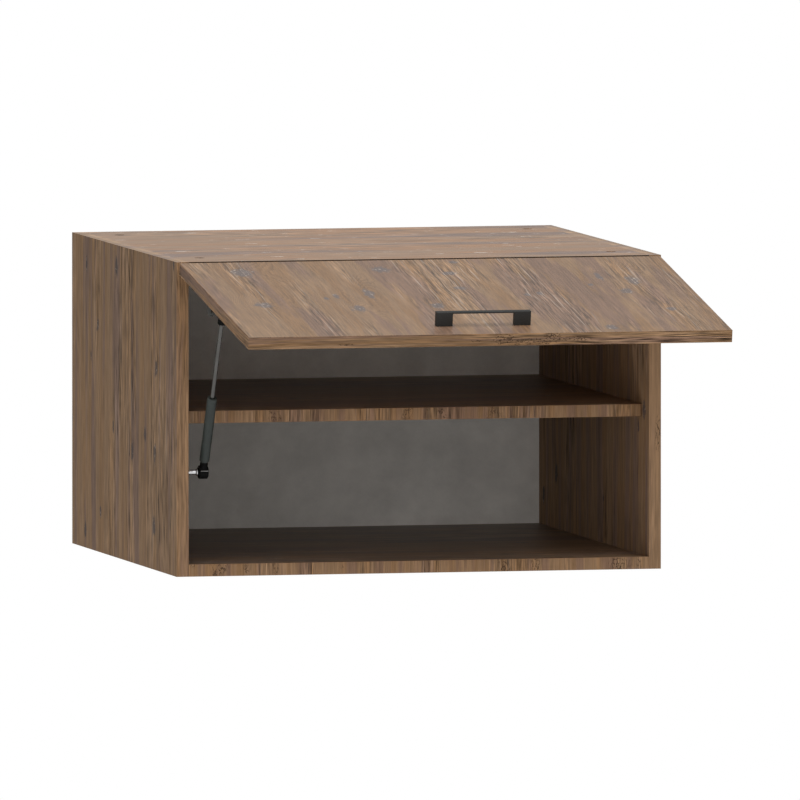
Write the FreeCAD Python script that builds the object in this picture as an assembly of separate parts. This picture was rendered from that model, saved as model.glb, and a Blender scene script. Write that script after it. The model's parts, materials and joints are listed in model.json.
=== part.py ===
import FreeCAD, Part
import math
import os

# A deep kitchen wall cabinet with one flap door that opens upwards on a gas strut.
# Millimetres. +X is to the right as seen from the room, +Y goes into the wall, +Z is up.
# The origin lies on the wall plane, in the middle of the width, at the cabinet's lower edge.
# Door pieces are built with the door shut, then turned up about the hinge axis, so the files
# show the door raised. "Forward" is a distance in front of the carcass's front plane.

V = FreeCAD.Vector
X_AXIS = V(1, 0, 0)
Y_AXIS = V(0, 1, 0)
Z_AXIS = V(0, 0, 1)

# ---- carcass ----
cabinet_width = 600.0
cabinet_height = 380.0
carcass_depth = 575.0
board = 15.0                  # thickness of the carcass boards and the shelf
back_thickness = 3.0
back_inset = 1.0              # the back panel stops this far inside the outline, except below
band = 0.8                    # thickness of the edge bands

shelf_setback = 35.0          # from the carcass front to the shelf's front edge
shelf_end_gap = 0.7
shelf_back_gap = 0.8

# ---- corner joints ----
cam_radius = 6.0
cam_sink = 0.8                # a cam's face below its board's face
cam_cross = 1.7               # depth of a cam's screwdriver cross
cam_floor = 3.5               # wood left under a cam
cam_to_end = 30.0             # from a cam's centre to the end of its board
front_cam_back = 73.0         # from the carcass front to the front cams
rear_cam_forward = 63.0       # from the carcass rear to the rear cams
bolt_radius = 2.0
bolt_thread_radius = 2.5
bolt_head_radius = 3.0
bolt_head_half = 1.8
bolt_hole_radius = 3.5
side_drill_floor = 4.0        # wood left under a hole in a side panel
dowel_radius = 4.0
dowel_in_end = 18.0
dowel_from_cam = 64.0
wood_fit = 0.05               # gap round a piece pressed or screwed into wood

# ---- shelf pins and nails ----
pin_radius = 2.5
pin_grip = 7.5                # length of a pin inside the side panel
pin_foot = 8.0                # how far a pin's foot reaches under the shelf
pin_foot_height = 5.0
pin_foot_width = 12.0
pin_from_shelf_edge = 80.0
nail_radius = 0.75
nail_head_radius = 2.0
nail_head = 0.8
nail_length = 20.0
nail_pitch = 110.0
nail_margin = 40.0

# ---- hanger brackets ----
hanger_steel = 2.5
hanger_leg = 42.0
hanger_height = 40.0
hanger_hole_in = 20.0         # from the side panel's inner face to the wall hole
hanger_hole_radius = 3.5
hanger_from_top = 1.0         # gap below the top panel
hanger_near_screw = 16.8      # from the back panel to the screws in the side
hanger_far_screw = 33.6
hanger_corner = 6.0

# ---- screws ----
screw_radius = 1.75
screw_head_radius = 3.6
screw_head = 1.6
screw_length = 13.0
cross_reach = 0.6             # half a cross's length, as a part of its head's radius
cross_slot = 0.16             # half a slot's width, as a part of its head's radius
cross_sink = 0.6              # a cross's depth, as a part of its head's height
hole_clearance = 0.25         # gap round a screw in a metal piece

# ---- door ----
door_thickness = 15.0
door_side_reveal = 2.5
door_end_reveal = 1.5         # top and bottom
door_gap = 2.5                # between the shut door and the carcass front
open_angle = 80.0
axis_forward = 11.2           # hinge axis, in front of the carcass front
axis_drop = 8.2               # hinge axis, below the cabinet's top face
bumper_radius = 4.0
bumper_clearance = 0.4
bumper_inset = 7.5            # from the door's end
bumper_rise = 15.0            # from the door's free edge

# ---- handle ----
handle_spacing = 96.0         # screw to screw
handle_foot = 20.4            # width of a foot
handle_depth = 8.0
handle_height = 17.5
handle_bar = 2.2
handle_edge = 0.95            # rounding of the long edges
handle_from_free_edge = 44.0  # from the door's free edge to the screw line
handle_screw_radius = 2.0
handle_screw_bite = 10.0
handle_screw_head = 2.2
handle_screw_head_radius = 4.0

# ---- hinges ----
hinge_inset = 100.0           # from the cabinet's side to a hinge's middle
cup_radius = 17.5
cup_wall = 0.8
cup_depth = 12.5
cup_edge = 3.0                # door edge to cup
cup_flange = 1.2
cup_ear_half = 31.0
cup_ear_height = 13.0
cup_screw_half = 24.0
cup_screw_drop = 9.5
cup_screw_length = 10.0
cup_screw_head = 1.1
cup_ear_corner = 4.3
hinge_pin_radius = 1.2
hinge_pin_half = 8.8
hinge_run = 0.05              # running clearance round a pivot pin
arm_eye_radius = 2.2
arm_neck_half = 3.0
arm_neck = 2.5                # thickness of the neck
arm_under_top = 4.5           # from the top panel's underside to the neck
arm_half = 7.0
arm_height = 7.5
arm_steel = 1.4
arm_front = 8.0               # from the carcass front to the arm's front end
arm_length = 60.0
plate_thickness = 4.0
plate_back = 37.0             # from the carcass front to the plate's screw line
plate_half = 24.0
plate_wing = 18.0
plate_corner = 6.0
plate_spine_half = 5.0
plate_spine = 46.0
plate_screw_half = 16.0
arm_screw_half = 13.8

# ---- gas strut ----
strut_in = 23.0               # from the left side panel's inner face to the strut's centre line
low_ball_back = 24.4          # behind the carcass front
low_ball_drop = 255.6         # below the cabinet's top face
door_ball_drop = 86.8         # below the door's top edge, door shut
door_ball_out = 25.7          # behind the shut door's inner face
ball_radius = 4.0
ball_fit = 0.05
socket_radius = 8.2
socket_half = 5.4
socket_neck_radius = 4.9
socket_length = 15.6          # from a ball's centre to the end of its socket's neck
tube_radius = 6.0
tube_bore = 5.0
tube_length = 90.4
tube_floor = 3.0
tube_mouth = 2.0
tube_rim = 0.9                # rounding of the tube's two ends
rod_radius = 2.6
rod_grip = 7.0                # length of the rod and of the tube's stem inside a socket
guide_length = 9.0
piston_length = 8.0
piston_fit = 0.1
slide_fit = 0.05
piston_from_guide = 3.0
stud_radius = 2.9
rivet_radius = 2.0            # of the upper stud, inside the bracket's flange
stud_collar_radius = 4.2
stud_collar = 3.0
stud_gap = 0.3                # open gap between the side stud and the lower socket
side_plate = 2.0
side_plate_half = 11.0
side_plate_height = 44.0
side_plate_screw = 15.0
side_plate_corner = 4.4
bracket_steel = 2.0
bracket_in = 5.0              # from the side panel's inner face to the bracket's flange
bracket_base = 32.0
bracket_length = 46.0
bracket_flange = 10.0
bracket_corner = 3.5          # rounding of the flange's tip
bracket_past_ball = 3.0
bracket_screw_along = 14.0
bracket_near_screws = 9.6     # from the flange to the two near screws
bracket_far_screw = 23.0

# ---- places worked out from the driving dimensions ----
half_width = cabinet_width / 2
inner_x = half_width - board
rear_y = -back_thickness
front_y = rear_y - carcass_depth
board_front_y = front_y + band
top_z = cabinet_height
ceiling_z = top_z - board
shelf_z = (board + ceiling_z) / 2 - board / 2
shelf_top_z = shelf_z + board
shelf_front_y = front_y + shelf_setback
overcut = 1.0

door_top_z = top_z - door_end_reveal
door_low_z = door_end_reveal
door_half = half_width - door_side_reveal
door_in_y = front_y - door_gap
door_out_y = door_in_y - door_thickness
axis_point = V(0, front_y - axis_forward, top_z - axis_drop)

strut_x = -inner_x + strut_in
low_ball = V(strut_x, front_y + low_ball_back, top_z - low_ball_drop)
door_ball_shut = V(strut_x, door_in_y + door_ball_out, door_top_z - door_ball_drop)

SIDES = (-1, 1)
cam_rows = (front_y + front_cam_back, rear_y - rear_cam_forward)
dowel_rows = (cam_rows[0] + dowel_from_cam, cam_rows[1] - dowel_from_cam)
joint_heights = (board / 2, top_z - board / 2)
hinge_places = (-half_width + hinge_inset, half_width - hinge_inset)


# ---- small tools ----
def box(x_range, y_range, z_range):
    """A block between two values on each axis."""
    lows = V(min(x_range), min(y_range), min(z_range))
    highs = V(max(x_range), max(y_range), max(z_range))
    size = highs.sub(lows)
    return Part.makeBox(size.x, size.y, size.z, lows)


def between(start, end, radius):
    """A cylinder from one point to another."""
    run = end.sub(start)
    return Part.makeCylinder(radius, run.Length, start, run)


def placed(shape, at, along):
    """A copy of a shape made on the Z axis, moved to a point and turned to a direction."""
    result = shape.copy()
    result.Placement = FreeCAD.Placement(at, FreeCAD.Rotation(Z_AXIS, along))
    return result


def raised(shape):
    """A door piece turned from shut to open about the hinge axis."""
    result = shape.copy()
    result.rotate(axis_point, X_AXIS, -open_angle)
    return result


def save(name, solids):
    """One file per node, with every piece of it as its own solid."""
    separate = [solid for shape in solids for solid in shape.Solids]
    Part.makeCompound(separate).exportStep(os.path.join("parts", name + ".step"))


def cross_recess(head_radius, depth):
    """The two slots that a screwdriver fits, cut down from z = 0."""
    long_half = head_radius * cross_reach
    slot_half = head_radius * cross_slot
    one = box((-long_half, long_half), (-slot_half, slot_half), (-depth, overcut))
    other = box((-slot_half, slot_half), (-long_half, long_half), (-depth, overcut))
    return one.fuse(other)


def screw(at, out, radius, length, head_radius, head_height):
    """A pan-head screw: its head stands on the surface at a point and faces out."""
    shank = Part.makeCylinder(radius, length, V(0, 0, -length))
    head = Part.makeCylinder(head_radius, head_height)
    recess = cross_recess(head_radius, head_height * cross_sink)
    recess.translate(V(0, 0, head_height))
    return placed(head.fuse(shank).removeSplitter().cut(recess), at, out)


def drilling(at, out, radius, depth):
    """A round hole into a surface at a point, open outwards."""
    tool = Part.makeCylinder(radius, depth + overcut, V(0, 0, -depth))
    return placed(tool, at, out)


# ---- places of the repeated fasteners, as (point, direction the head faces) ----
def corner_places(rows):
    """Every corner joint on the given rows: side sign, row, height."""
    return [(side, y, z) for side in SIDES for y in rows for z in joint_heights]


def pin_places():
    rows = (shelf_front_y + pin_from_shelf_edge, rear_y - shelf_back_gap - pin_from_shelf_edge)
    return [(side, y) for side in SIDES for y in rows]


def nail_places():
    """Nails round the back panel, over the edges of the four boards behind it."""
    up = cabinet_height - 2 * nail_margin
    up_count = max(2, round(up / nail_pitch) + 1)
    across = cabinet_width - 2 * nail_margin
    across_count = max(2, round(across / nail_pitch))
    places = []
    for step in range(up_count):
        z = nail_margin + up * step / (up_count - 1)
        places += [(side * (half_width - board / 2), z) for side in SIDES]
    for step in range(across_count):
        x = -half_width + nail_margin + across * (step + 0.5) / across_count
        places += [(x, z) for z in joint_heights]
    return places


def hanger_hole_height():
    return ceiling_z - hanger_from_top - hanger_height / 2


def hanger_side_screws(side):
    """Screw points on a hanger bracket's side leg."""
    x = side * (inner_x - hanger_steel)
    rows = (rear_y - hanger_near_screw, rear_y - hanger_far_screw)
    return [(V(x, y, hanger_hole_height()), V(-side, 0, 0)) for y in rows]


def plate_screws(x):
    y = front_y + plate_back
    z = ceiling_z - plate_thickness
    return [(V(x + side * plate_screw_half, y, z), V(0, 0, -1)) for side in SIDES]


def side_plate_screws():
    """Screws above and below the lower ball stud."""
    x = -inner_x + side_plate
    heights = (low_ball.z - side_plate_screw, low_ball.z + side_plate_screw)
    return [(V(x, low_ball.y, z), X_AXIS) for z in heights]


def cup_centre(x):
    return V(x, door_in_y, door_top_z - cup_edge - cup_radius)


def cup_screws(x):
    centre = cup_centre(x)
    z = centre.z - cup_screw_drop
    y = door_in_y + cup_flange
    return [(V(x + side * cup_screw_half, y, z), Y_AXIS) for side in SIDES]


def bracket_flange_x():
    return -inner_x + bracket_in


def bracket_screws():
    """Three screws through the strut bracket's base, into the door."""
    y = door_in_y + bracket_steel
    x_near = bracket_flange_x() + bracket_steel + bracket_near_screws
    x_far = bracket_flange_x() + bracket_steel + bracket_far_screw
    z = door_ball_shut.z
    spots = ((x_near, z - bracket_screw_along), (x_near, z + bracket_screw_along), (x_far, z))
    return [(V(x, y, spot_z), Y_AXIS) for x, spot_z in spots]


def handle_screw_places():
    z = door_low_z + handle_from_free_edge
    return [V(side * handle_spacing / 2, door_in_y, z) for side in SIDES]


def pilots(places, plate, length=screw_length, radius=screw_radius):
    """Holes in the wood behind a plate for screws whose heads stand on that plate."""
    holes = []
    for at, out in places:
        surface = at.sub(V(out).multiply(plate))
        holes.append(drilling(surface, out, radius + wood_fit, length - plate + wood_fit))
    return holes


# ---- carcass boards ----
def side_panel(side):
    """A full-height side: bolt, dowel and shelf pin holes on its inner face."""
    panel = box((side * inner_x, side * half_width), (board_front_y, rear_y), (0, top_z))
    inward = V(-side, 0, 0)
    depth = board - side_drill_floor
    holes = []
    for row_side, y, z in corner_places(cam_rows):
        if row_side == side:
            holes.append(drilling(V(side * inner_x, y, z), inward, bolt_thread_radius + wood_fit, depth))
    for row_side, y, z in corner_places(dowel_rows):
        if row_side == side:
            holes.append(drilling(V(side * inner_x, y, z), inward, dowel_radius + wood_fit, depth))
    for row_side, y in pin_places():
        if row_side == side:
            at = V(side * inner_x, y, shelf_z - pin_foot_height / 2)
            holes.append(drilling(at, inward, pin_radius + wood_fit, pin_grip + 2 * wood_fit))
    holes += pilots(hanger_side_screws(side), hanger_steel)
    holes += [nail_drilling(x, z) for x, z in nail_places() if x * side > inner_x]
    if side < 0:
        holes += pilots(side_plate_screws(), side_plate)
    return panel.cut(holes)


def nail_drilling(x, z):
    return drilling(V(x, rear_y, z), Y_AXIS, nail_radius + wood_fit, nail_length - back_thickness + wood_fit)


def level_panel(low_z, cam_face_z, cam_out):
    """The top or bottom board, between the sides: cam pockets, bolt and dowel holes."""
    panel = box((-inner_x, inner_x), (board_front_y, rear_y), (low_z, low_z + board))
    middle_z = low_z + board / 2
    cam_depth = board - cam_floor
    holes = []
    for side in SIDES:
        outward = V(side, 0, 0)
        for y in cam_rows:
            cam_at = V(side * (inner_x - cam_to_end), y, cam_face_z)
            holes.append(drilling(cam_at, cam_out, cam_radius + wood_fit, cam_depth + wood_fit))
            holes.append(drilling(V(side * inner_x, y, middle_z), outward, bolt_hole_radius, cam_to_end))
        for y in dowel_rows:
            end = V(side * inner_x, y, middle_z)
            holes.append(drilling(end, outward, dowel_radius + wood_fit, dowel_in_end + wood_fit))
    holes += [nail_drilling(x, z) for x, z in nail_places() if abs(x) < inner_x and z == middle_z]
    return panel, holes


def top_panel():
    panel, holes = level_panel(ceiling_z, top_z, Z_AXIS)
    for x in hinge_places:
        holes += pilots(plate_screws(x), plate_thickness)
    return panel.cut(holes)


def bottom_panel():
    panel, holes = level_panel(0, 0, V(0, 0, -1))
    return panel.cut(holes)


def back_panel():
    """Thin board nailed over the rear, with the two wall holes through it."""
    wide = half_width - back_inset
    panel = box((-wide, wide), (rear_y, 0), (0, top_z - back_inset))
    holes = []
    for side in SIDES:
        at = V(side * (inner_x - hanger_hole_in), 0, hanger_hole_height())
        holes.append(drilling(at, Y_AXIS, hanger_hole_radius, back_thickness + overcut))
    for x, z in nail_places():
        at = V(x, 0, z)
        holes.append(drilling(at, Y_AXIS, nail_head_radius + wood_fit, nail_head))
        holes.append(drilling(at, Y_AXIS, nail_radius + wood_fit, back_thickness + overcut))
    return panel.cut(holes)


def shelf():
    ends = inner_x - shelf_end_gap
    return box((-ends, ends), (shelf_front_y + band, rear_y - shelf_back_gap), (shelf_z, shelf_top_z))


def front_band(x_range, z_range, face_y):
    return box(x_range, (face_y, face_y + band), z_range)


def shelf_band():
    ends = inner_x - shelf_end_gap
    return front_band((-ends, ends), (shelf_z, shelf_top_z), shelf_front_y)


# ---- carcass fasteners ----
def cam_lock(side, y, face_z, out_z):
    """A cam disc with its screwdriver cross and the slot that holds the bolt's head."""
    depth = board - cam_floor
    disc = Part.makeCylinder(cam_radius, depth - cam_sink, V(0, 0, -depth))
    cross = cross_recess(cam_radius, cam_cross)
    cross.translate(V(0, 0, -cam_sink))
    disc = disc.cut(cross)
    at = V(side * (inner_x - cam_to_end), y, face_z)
    disc = placed(disc, at, V(0, 0, out_z))
    slot_radius = bolt_head_radius + wood_fit
    middle_z = face_z - out_z * board / 2
    start = V(at.x - side * slot_radius, y, middle_z)
    return disc.cut(between(start, V(side * inner_x, y, middle_z), slot_radius))


def cam_bolt(side, y, z):
    """A bolt threaded into the side panel, its head held in the cam."""
    thread_end = V(side * (inner_x + board - side_drill_floor), y, z)
    face = V(side * inner_x, y, z)
    centre = V(side * (inner_x - cam_to_end), y, z)
    head_half = V(side * bolt_head_half, 0, 0)
    shaft = between(face, centre, bolt_radius)
    thread = between(face, thread_end, bolt_thread_radius)
    head = between(centre.sub(head_half), centre.add(head_half), bolt_head_radius)
    return shaft.fuse([thread, head]).removeSplitter()


def dowel(side, y, z):
    inside = V(side * (inner_x - dowel_in_end), y, z)
    outside = V(side * (inner_x + board - side_drill_floor - wood_fit), y, z)
    return between(inside, outside, dowel_radius)


def shelf_pin(side, y):
    """A pin in the side panel with a flat foot under the shelf."""
    face = side * inner_x
    middle_z = shelf_z - pin_foot_height / 2
    foot_y = (y - pin_foot_width / 2, y + pin_foot_width / 2)
    foot = box((face, face - side * pin_foot), foot_y, (shelf_z - pin_foot_height, shelf_z))
    pin = between(V(face, y, middle_z), V(face + side * pin_grip, y, middle_z), pin_radius)
    return foot.fuse(pin).removeSplitter()


def nail(x, z):
    shank = between(V(x, -nail_length, z), V(x, 0, z), nail_radius)
    head = between(V(x, -nail_head, z), V(x, 0, z), nail_head_radius)
    return shank.fuse(head).removeSplitter()


def hanger_bracket(side):
    """A steel angle in an upper rear corner: one leg on the side, one on the back panel."""
    high_z = ceiling_z - hanger_from_top
    low_z = high_z - hanger_height
    x_far = side * (inner_x - hanger_leg)
    y_far = rear_y - hanger_leg
    back_leg = box((side * inner_x, x_far), (rear_y - hanger_steel, rear_y), (low_z, high_z))
    side_leg = box((side * inner_x, side * (inner_x - hanger_steel)), (y_far, rear_y), (low_z, high_z))
    angle = back_leg.fuse(side_leg).removeSplitter()
    ends = []
    for edge in angle.Edges:
        middle = edge.CenterOfMass
        at_back_tip = abs(middle.x - x_far) < wood_fit and edge.BoundBox.YLength > hanger_steel / 2
        at_side_tip = abs(middle.y - y_far) < wood_fit and edge.BoundBox.XLength > hanger_steel / 2
        if at_back_tip or at_side_tip:
            ends.append(edge)
    angle = angle.makeFillet(hanger_corner, ends)
    wall_hole = V(side * (inner_x - hanger_hole_in), 0, hanger_hole_height())
    holes = [drilling(wall_hole, Y_AXIS, hanger_hole_radius, hanger_leg)]
    for at, out in hanger_side_screws(side):
        holes.append(drilling(at, out, screw_radius + hole_clearance, hanger_steel + overcut))
    return angle.cut(holes)


def wood_screws(places, length=screw_length, head_height=screw_head):
    return [screw(at, out, screw_radius, length, screw_head_radius, head_height) for at, out in places]


# ---- hinges ----
def neck_z():
    """Top face of the arm's level neck."""
    return ceiling_z - arm_under_top


def hinge_plate(x):
    """The plate under the top panel: two screwed wings and the spine that carries the arm."""
    y = front_y + plate_back
    z_range = (ceiling_z - plate_thickness, ceiling_z)
    wings = box((x - plate_half, x + plate_half), (y - plate_wing / 2, y + plate_wing / 2), z_range)
    corners = [edge for edge in wings.Edges if edge.BoundBox.ZLength > plate_thickness / 2]
    wings = wings.makeFillet(plate_corner, corners)
    spine_y = (y - plate_spine / 2, y + plate_spine / 2)
    spine = box((x - plate_spine_half, x + plate_spine_half), spine_y, z_range)
    plate = wings.fuse(spine).removeSplitter()
    holes = []
    for at, out in plate_screws(x):
        holes.append(drilling(at, out, screw_radius + hole_clearance, plate_thickness + overcut))
    for at, out in arm_screws(x):
        holes.append(drilling(at, out, screw_radius + wood_fit, plate_thickness + arm_height))
    return plate.cut(holes)


def arm_low_z():
    return ceiling_z - plate_thickness - arm_height


def arm_screws(x):
    """The fixing screw and the adjusting screw, through the arm's web into the plate."""
    middle = front_y + plate_back
    rows = (middle - arm_screw_half, middle + arm_screw_half)
    return [(V(x, y, arm_low_z()), V(0, 0, -1)) for y in rows]


def hinge_arm(x):
    """A channel along the plate, and a cranked neck that reaches the pivot inside the cup."""
    y_range = (front_y + arm_front, front_y + arm_front + arm_length)
    low_z = arm_low_z()
    high_z = ceiling_z - plate_thickness
    channel = box((x - arm_half, x + arm_half), y_range, (low_z, high_z))
    hollow_x = (x - arm_half + arm_steel, x + arm_half - arm_steel)
    hollow_y = (y_range[0] + arm_steel, y_range[1] + overcut)
    channel = channel.cut(box(hollow_x, hollow_y, (low_z + arm_steel, high_z + overcut)))
    across = (x - arm_neck_half, x + arm_neck_half)
    level_y = (axis_point.y - arm_neck / 2, y_range[0] + arm_steel)
    level = box(across, level_y, (neck_z() - arm_neck, neck_z()))
    upright_y = (axis_point.y - arm_neck / 2, axis_point.y + arm_neck / 2)
    upright = box(across, upright_y, (neck_z() - arm_neck, axis_point.z))
    eye_start = V(x - arm_neck_half, axis_point.y, axis_point.z)
    eye_end = V(x + arm_neck_half, axis_point.y, axis_point.z)
    arm = channel.fuse([level, upright, between(eye_start, eye_end, arm_eye_radius)]).removeSplitter()
    holes = [between(eye_start, eye_end, hinge_pin_radius + hinge_run)]
    for at, out in arm_screws(x):
        holes.append(drilling(at, out, screw_radius + hole_clearance, arm_steel + overcut))
    return arm.cut(holes)


def hinge_pin(x):
    start = V(x - hinge_pin_half, axis_point.y, axis_point.z)
    return between(start, V(x + hinge_pin_half, axis_point.y, axis_point.z), hinge_pin_radius)


def hinge_cup(x):
    """A round steel cup in the door with a flat two-eared flange on the door's inner face."""
    centre = cup_centre(x)
    flange_end = V(x, door_in_y + cup_flange, centre.z)
    cup = between(V(x, door_in_y - cup_depth, centre.z), flange_end, cup_radius)
    ear_low = centre.z - cup_screw_drop - cup_ear_height / 2
    ear_z = (ear_low, ear_low + cup_ear_height)
    ears = box((x - cup_ear_half, x + cup_ear_half), (door_in_y, door_in_y + cup_flange), ear_z)
    corners = [edge for edge in ears.Edges if edge.BoundBox.YLength > cup_flange / 2]
    ears = ears.makeFillet(cup_ear_corner, corners)
    cup = cup.fuse(ears).removeSplitter()
    cavity_start = V(x, door_in_y - cup_depth + cup_wall, centre.z)
    cavity_end = V(x, door_in_y + cup_flange + overcut, centre.z)
    cup = cup.cut(between(cavity_start, cavity_end, cup_radius - cup_wall))
    holes = [hinge_pin(x)]
    for at, out in cup_screws(x):
        holes.append(drilling(at, out, screw_radius + hole_clearance, cup_flange + overcut))
    return cup.cut(holes)


# ---- door ----
def door_panel():
    """The board inside its four bands, drilled for the cups, the handle and the strut bracket."""
    x_range = (-door_half + band, door_half - band)
    panel = box(x_range, (door_out_y, door_in_y), (door_low_z + band, door_top_z - band))
    holes = []
    for x in hinge_places:
        holes.append(drilling(cup_centre(x), Y_AXIS, cup_radius + wood_fit, cup_depth + wood_fit))
        holes += pilots(cup_screws(x), cup_flange, cup_screw_length)
    holes += pilots(bracket_screws(), bracket_steel)
    for at in handle_screw_places():
        holes.append(drilling(at, Y_AXIS, handle_screw_radius + hole_clearance, door_thickness + overcut))
    return panel.cut(holes)


def door_level_band(low_z):
    """The band on the door's top or free edge: it covers the ends of the other two."""
    return box((-door_half, door_half), (door_out_y, door_in_y), (low_z, low_z + band))


def door_end_band(side):
    x_range = (side * (door_half - band), side * door_half)
    return box(x_range, (door_out_y, door_in_y), (door_low_z + band, door_top_z - band))


def bumper(side):
    at = V(side * (door_half - bumper_inset), door_in_y, door_low_z + bumper_rise)
    return between(at, at.add(V(0, door_gap - bumper_clearance, 0)), bumper_radius)


def handle():
    """A flat bar on two wide feet, bent from one profile."""
    reach = (handle_spacing + handle_foot) / 2
    z_middle = door_low_z + handle_from_free_edge
    z_range = (z_middle - handle_depth / 2, z_middle + handle_depth / 2)
    tip_y = door_out_y - handle_height
    bridge = box((-reach, reach), (tip_y, door_out_y), z_range)
    gap = reach - handle_foot
    gap_y = (tip_y + handle_bar, door_out_y + overcut)
    bridge = bridge.cut(box((-gap, gap), gap_y, (z_range[0] - overcut, z_range[1] + overcut)))
    rims = []
    for edge in bridge.Edges:
        on_tip = abs(edge.CenterOfMass.y - tip_y) < wood_fit
        if on_tip:
            rims.append(edge)
    bridge = bridge.makeFillet(handle_edge, rims)
    holes = []
    for at in handle_screw_places():
        mouth = V(at.x, door_out_y, at.z)
        holes.append(drilling(mouth, Y_AXIS, handle_screw_radius + wood_fit, handle_screw_bite + wood_fit))
    return bridge.cut(holes)


def handle_screw(at):
    length = door_thickness + handle_screw_bite
    return screw(at, Y_AXIS, handle_screw_radius, length, handle_screw_head_radius, handle_screw_head)


# ---- strut bracket on the door ----
def door_bracket():
    """An angle of steel: base on the door, flange that holds the ball stud."""
    flange_x = bracket_flange_x()
    z_mid = door_ball_shut.z
    base_x = (flange_x, flange_x + bracket_steel + bracket_base)
    base_z = (z_mid - bracket_length / 2, z_mid + bracket_length / 2)
    base = box(base_x, (door_in_y, door_in_y + bracket_steel), base_z)
    flange_end = door_ball_shut.y + bracket_past_ball
    flange_z = (z_mid - bracket_flange / 2, z_mid + bracket_flange / 2)
    flange = box((flange_x, flange_x + bracket_steel), (door_in_y, flange_end), flange_z)
    short = [edge for edge in flange.Edges if edge.Length < bracket_steel + wood_fit]
    tip = [edge for edge in short if edge.CenterOfMass.y > door_ball_shut.y]
    bracket = base.fuse(flange.makeFillet(bracket_corner, tip)).removeSplitter()
    stud_at = V(flange_x + bracket_steel, door_ball_shut.y, door_ball_shut.z)
    holes = [drilling(stud_at, X_AXIS, rivet_radius, bracket_steel + overcut)]
    for at, out in bracket_screws():
        holes.append(drilling(at, out, screw_radius + hole_clearance, bracket_steel + overcut))
    return bracket.cut(holes)


def door_ball_stud():
    """Ball, neck and collar, riveted through the bracket's flange."""
    ball = Part.makeSphere(ball_radius, door_ball_shut)
    start = V(bracket_flange_x(), door_ball_shut.y, door_ball_shut.z)
    collar_start = V(bracket_flange_x() + bracket_steel, door_ball_shut.y, door_ball_shut.z)
    rivet = between(start, collar_start, rivet_radius)
    neck = between(collar_start, door_ball_shut, stud_radius)
    collar = between(collar_start, collar_start.add(V(stud_collar, 0, 0)), stud_collar_radius)
    return neck.fuse([rivet, ball, collar]).removeSplitter()


# ---- lower stud on the side panel ----
def stud_plate():
    """A steel plate screwed to the left side panel's inner face."""
    y_range = (low_ball.y - side_plate_half, low_ball.y + side_plate_half)
    z_range = (low_ball.z - side_plate_height / 2, low_ball.z + side_plate_height / 2)
    plate = box((-inner_x, -inner_x + side_plate), y_range, z_range)
    corners = [edge for edge in plate.Edges if edge.BoundBox.XLength > side_plate / 2]
    plate = plate.makeFillet(side_plate_corner, corners)
    face = V(-inner_x + side_plate, low_ball.y, low_ball.z)
    holes = [drilling(face, X_AXIS, stud_radius, side_plate + overcut)]
    for at, out in side_plate_screws():
        holes.append(drilling(at, out, screw_radius + hole_clearance, side_plate + overcut))
    return plate.cut(holes)


def side_stud():
    """The neck and collar that stand out of the plate, up to the socket's face."""
    end_x = strut_x - socket_half - stud_gap
    start = V(-inner_x, low_ball.y, low_ball.z)
    end = V(end_x, low_ball.y, low_ball.z)
    collar_start = V(end_x - stud_collar, low_ball.y, low_ball.z)
    collar = between(collar_start, end, stud_collar_radius)
    return between(start, end, stud_radius).fuse(collar).removeSplitter()


# ---- gas strut, built upright from the lower ball and then leaned forward ----
def strut_run():
    """From the lower ball to the raised door's ball."""
    return door_ball_open().sub(low_ball)


def door_ball_open():
    return raised(Part.Vertex(door_ball_shut)).Point


def leaned(shape):
    """A strut piece built upright over the lower ball, turned onto the strut's line."""
    run = strut_run()
    lean = math.degrees(math.atan2(-run.y, run.z))
    result = shape.copy()
    result.translate(low_ball)
    result.rotate(low_ball, X_AXIS, lean)
    return result


def socket():
    """A moulded ball socket: its ball at the origin and its neck upwards."""
    body = between(V(-socket_half, 0, 0), V(socket_half, 0, 0), socket_radius)
    neck = Part.makeCylinder(socket_neck_radius, socket_length)
    hollow = Part.makeSphere(ball_radius + ball_fit)
    mouth = between(V(-socket_half - overcut, 0, 0), V(0, 0, 0), stud_radius + hole_clearance)
    grip = Part.makeCylinder(rod_radius, rod_grip + overcut, V(0, 0, socket_length - rod_grip))
    return body.fuse(neck).removeSplitter().cut([hollow, mouth, grip])


def tube_end():
    return socket_length + tube_length


def strut_tube():
    """The cylinder: a closed floor with a threaded stem below, a rolled mouth above."""
    tube = Part.makeCylinder(tube_radius, tube_length, V(0, 0, socket_length))
    bore_low = V(0, 0, socket_length + tube_floor)
    bore = Part.makeCylinder(tube_bore, tube_length - tube_floor - tube_mouth, bore_low)
    mouth_low = V(0, 0, tube_end() - tube_mouth)
    mouth = Part.makeCylinder(rod_radius + 2 * slide_fit, tube_mouth + overcut, mouth_low)
    rim = [edge for edge in tube.Edges if edge.Closed and edge.CenterOfMass.z > socket_length]
    tube = tube.makeFillet(tube_rim, rim)
    stem = Part.makeCylinder(rod_radius, rod_grip, V(0, 0, socket_length - rod_grip))
    return tube.fuse(stem).removeSplitter().cut([bore, mouth])


def rod_guide():
    """The sealing bush inside the tube's mouth."""
    low = tube_end() - tube_mouth - guide_length
    bush = Part.makeCylinder(tube_bore, guide_length, V(0, 0, low))
    return bush.cut(Part.makeCylinder(rod_radius + slide_fit, guide_length, V(0, 0, low)))


def piston_low():
    return tube_end() - tube_mouth - guide_length - piston_from_guide - piston_length


def strut_rod():
    end = strut_run().Length - socket_length + rod_grip
    low = piston_low() + piston_length
    return Part.makeCylinder(rod_radius, end - low, V(0, 0, low))


def strut_piston():
    return Part.makeCylinder(tube_bore - piston_fit, piston_length, V(0, 0, piston_low()))


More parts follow.
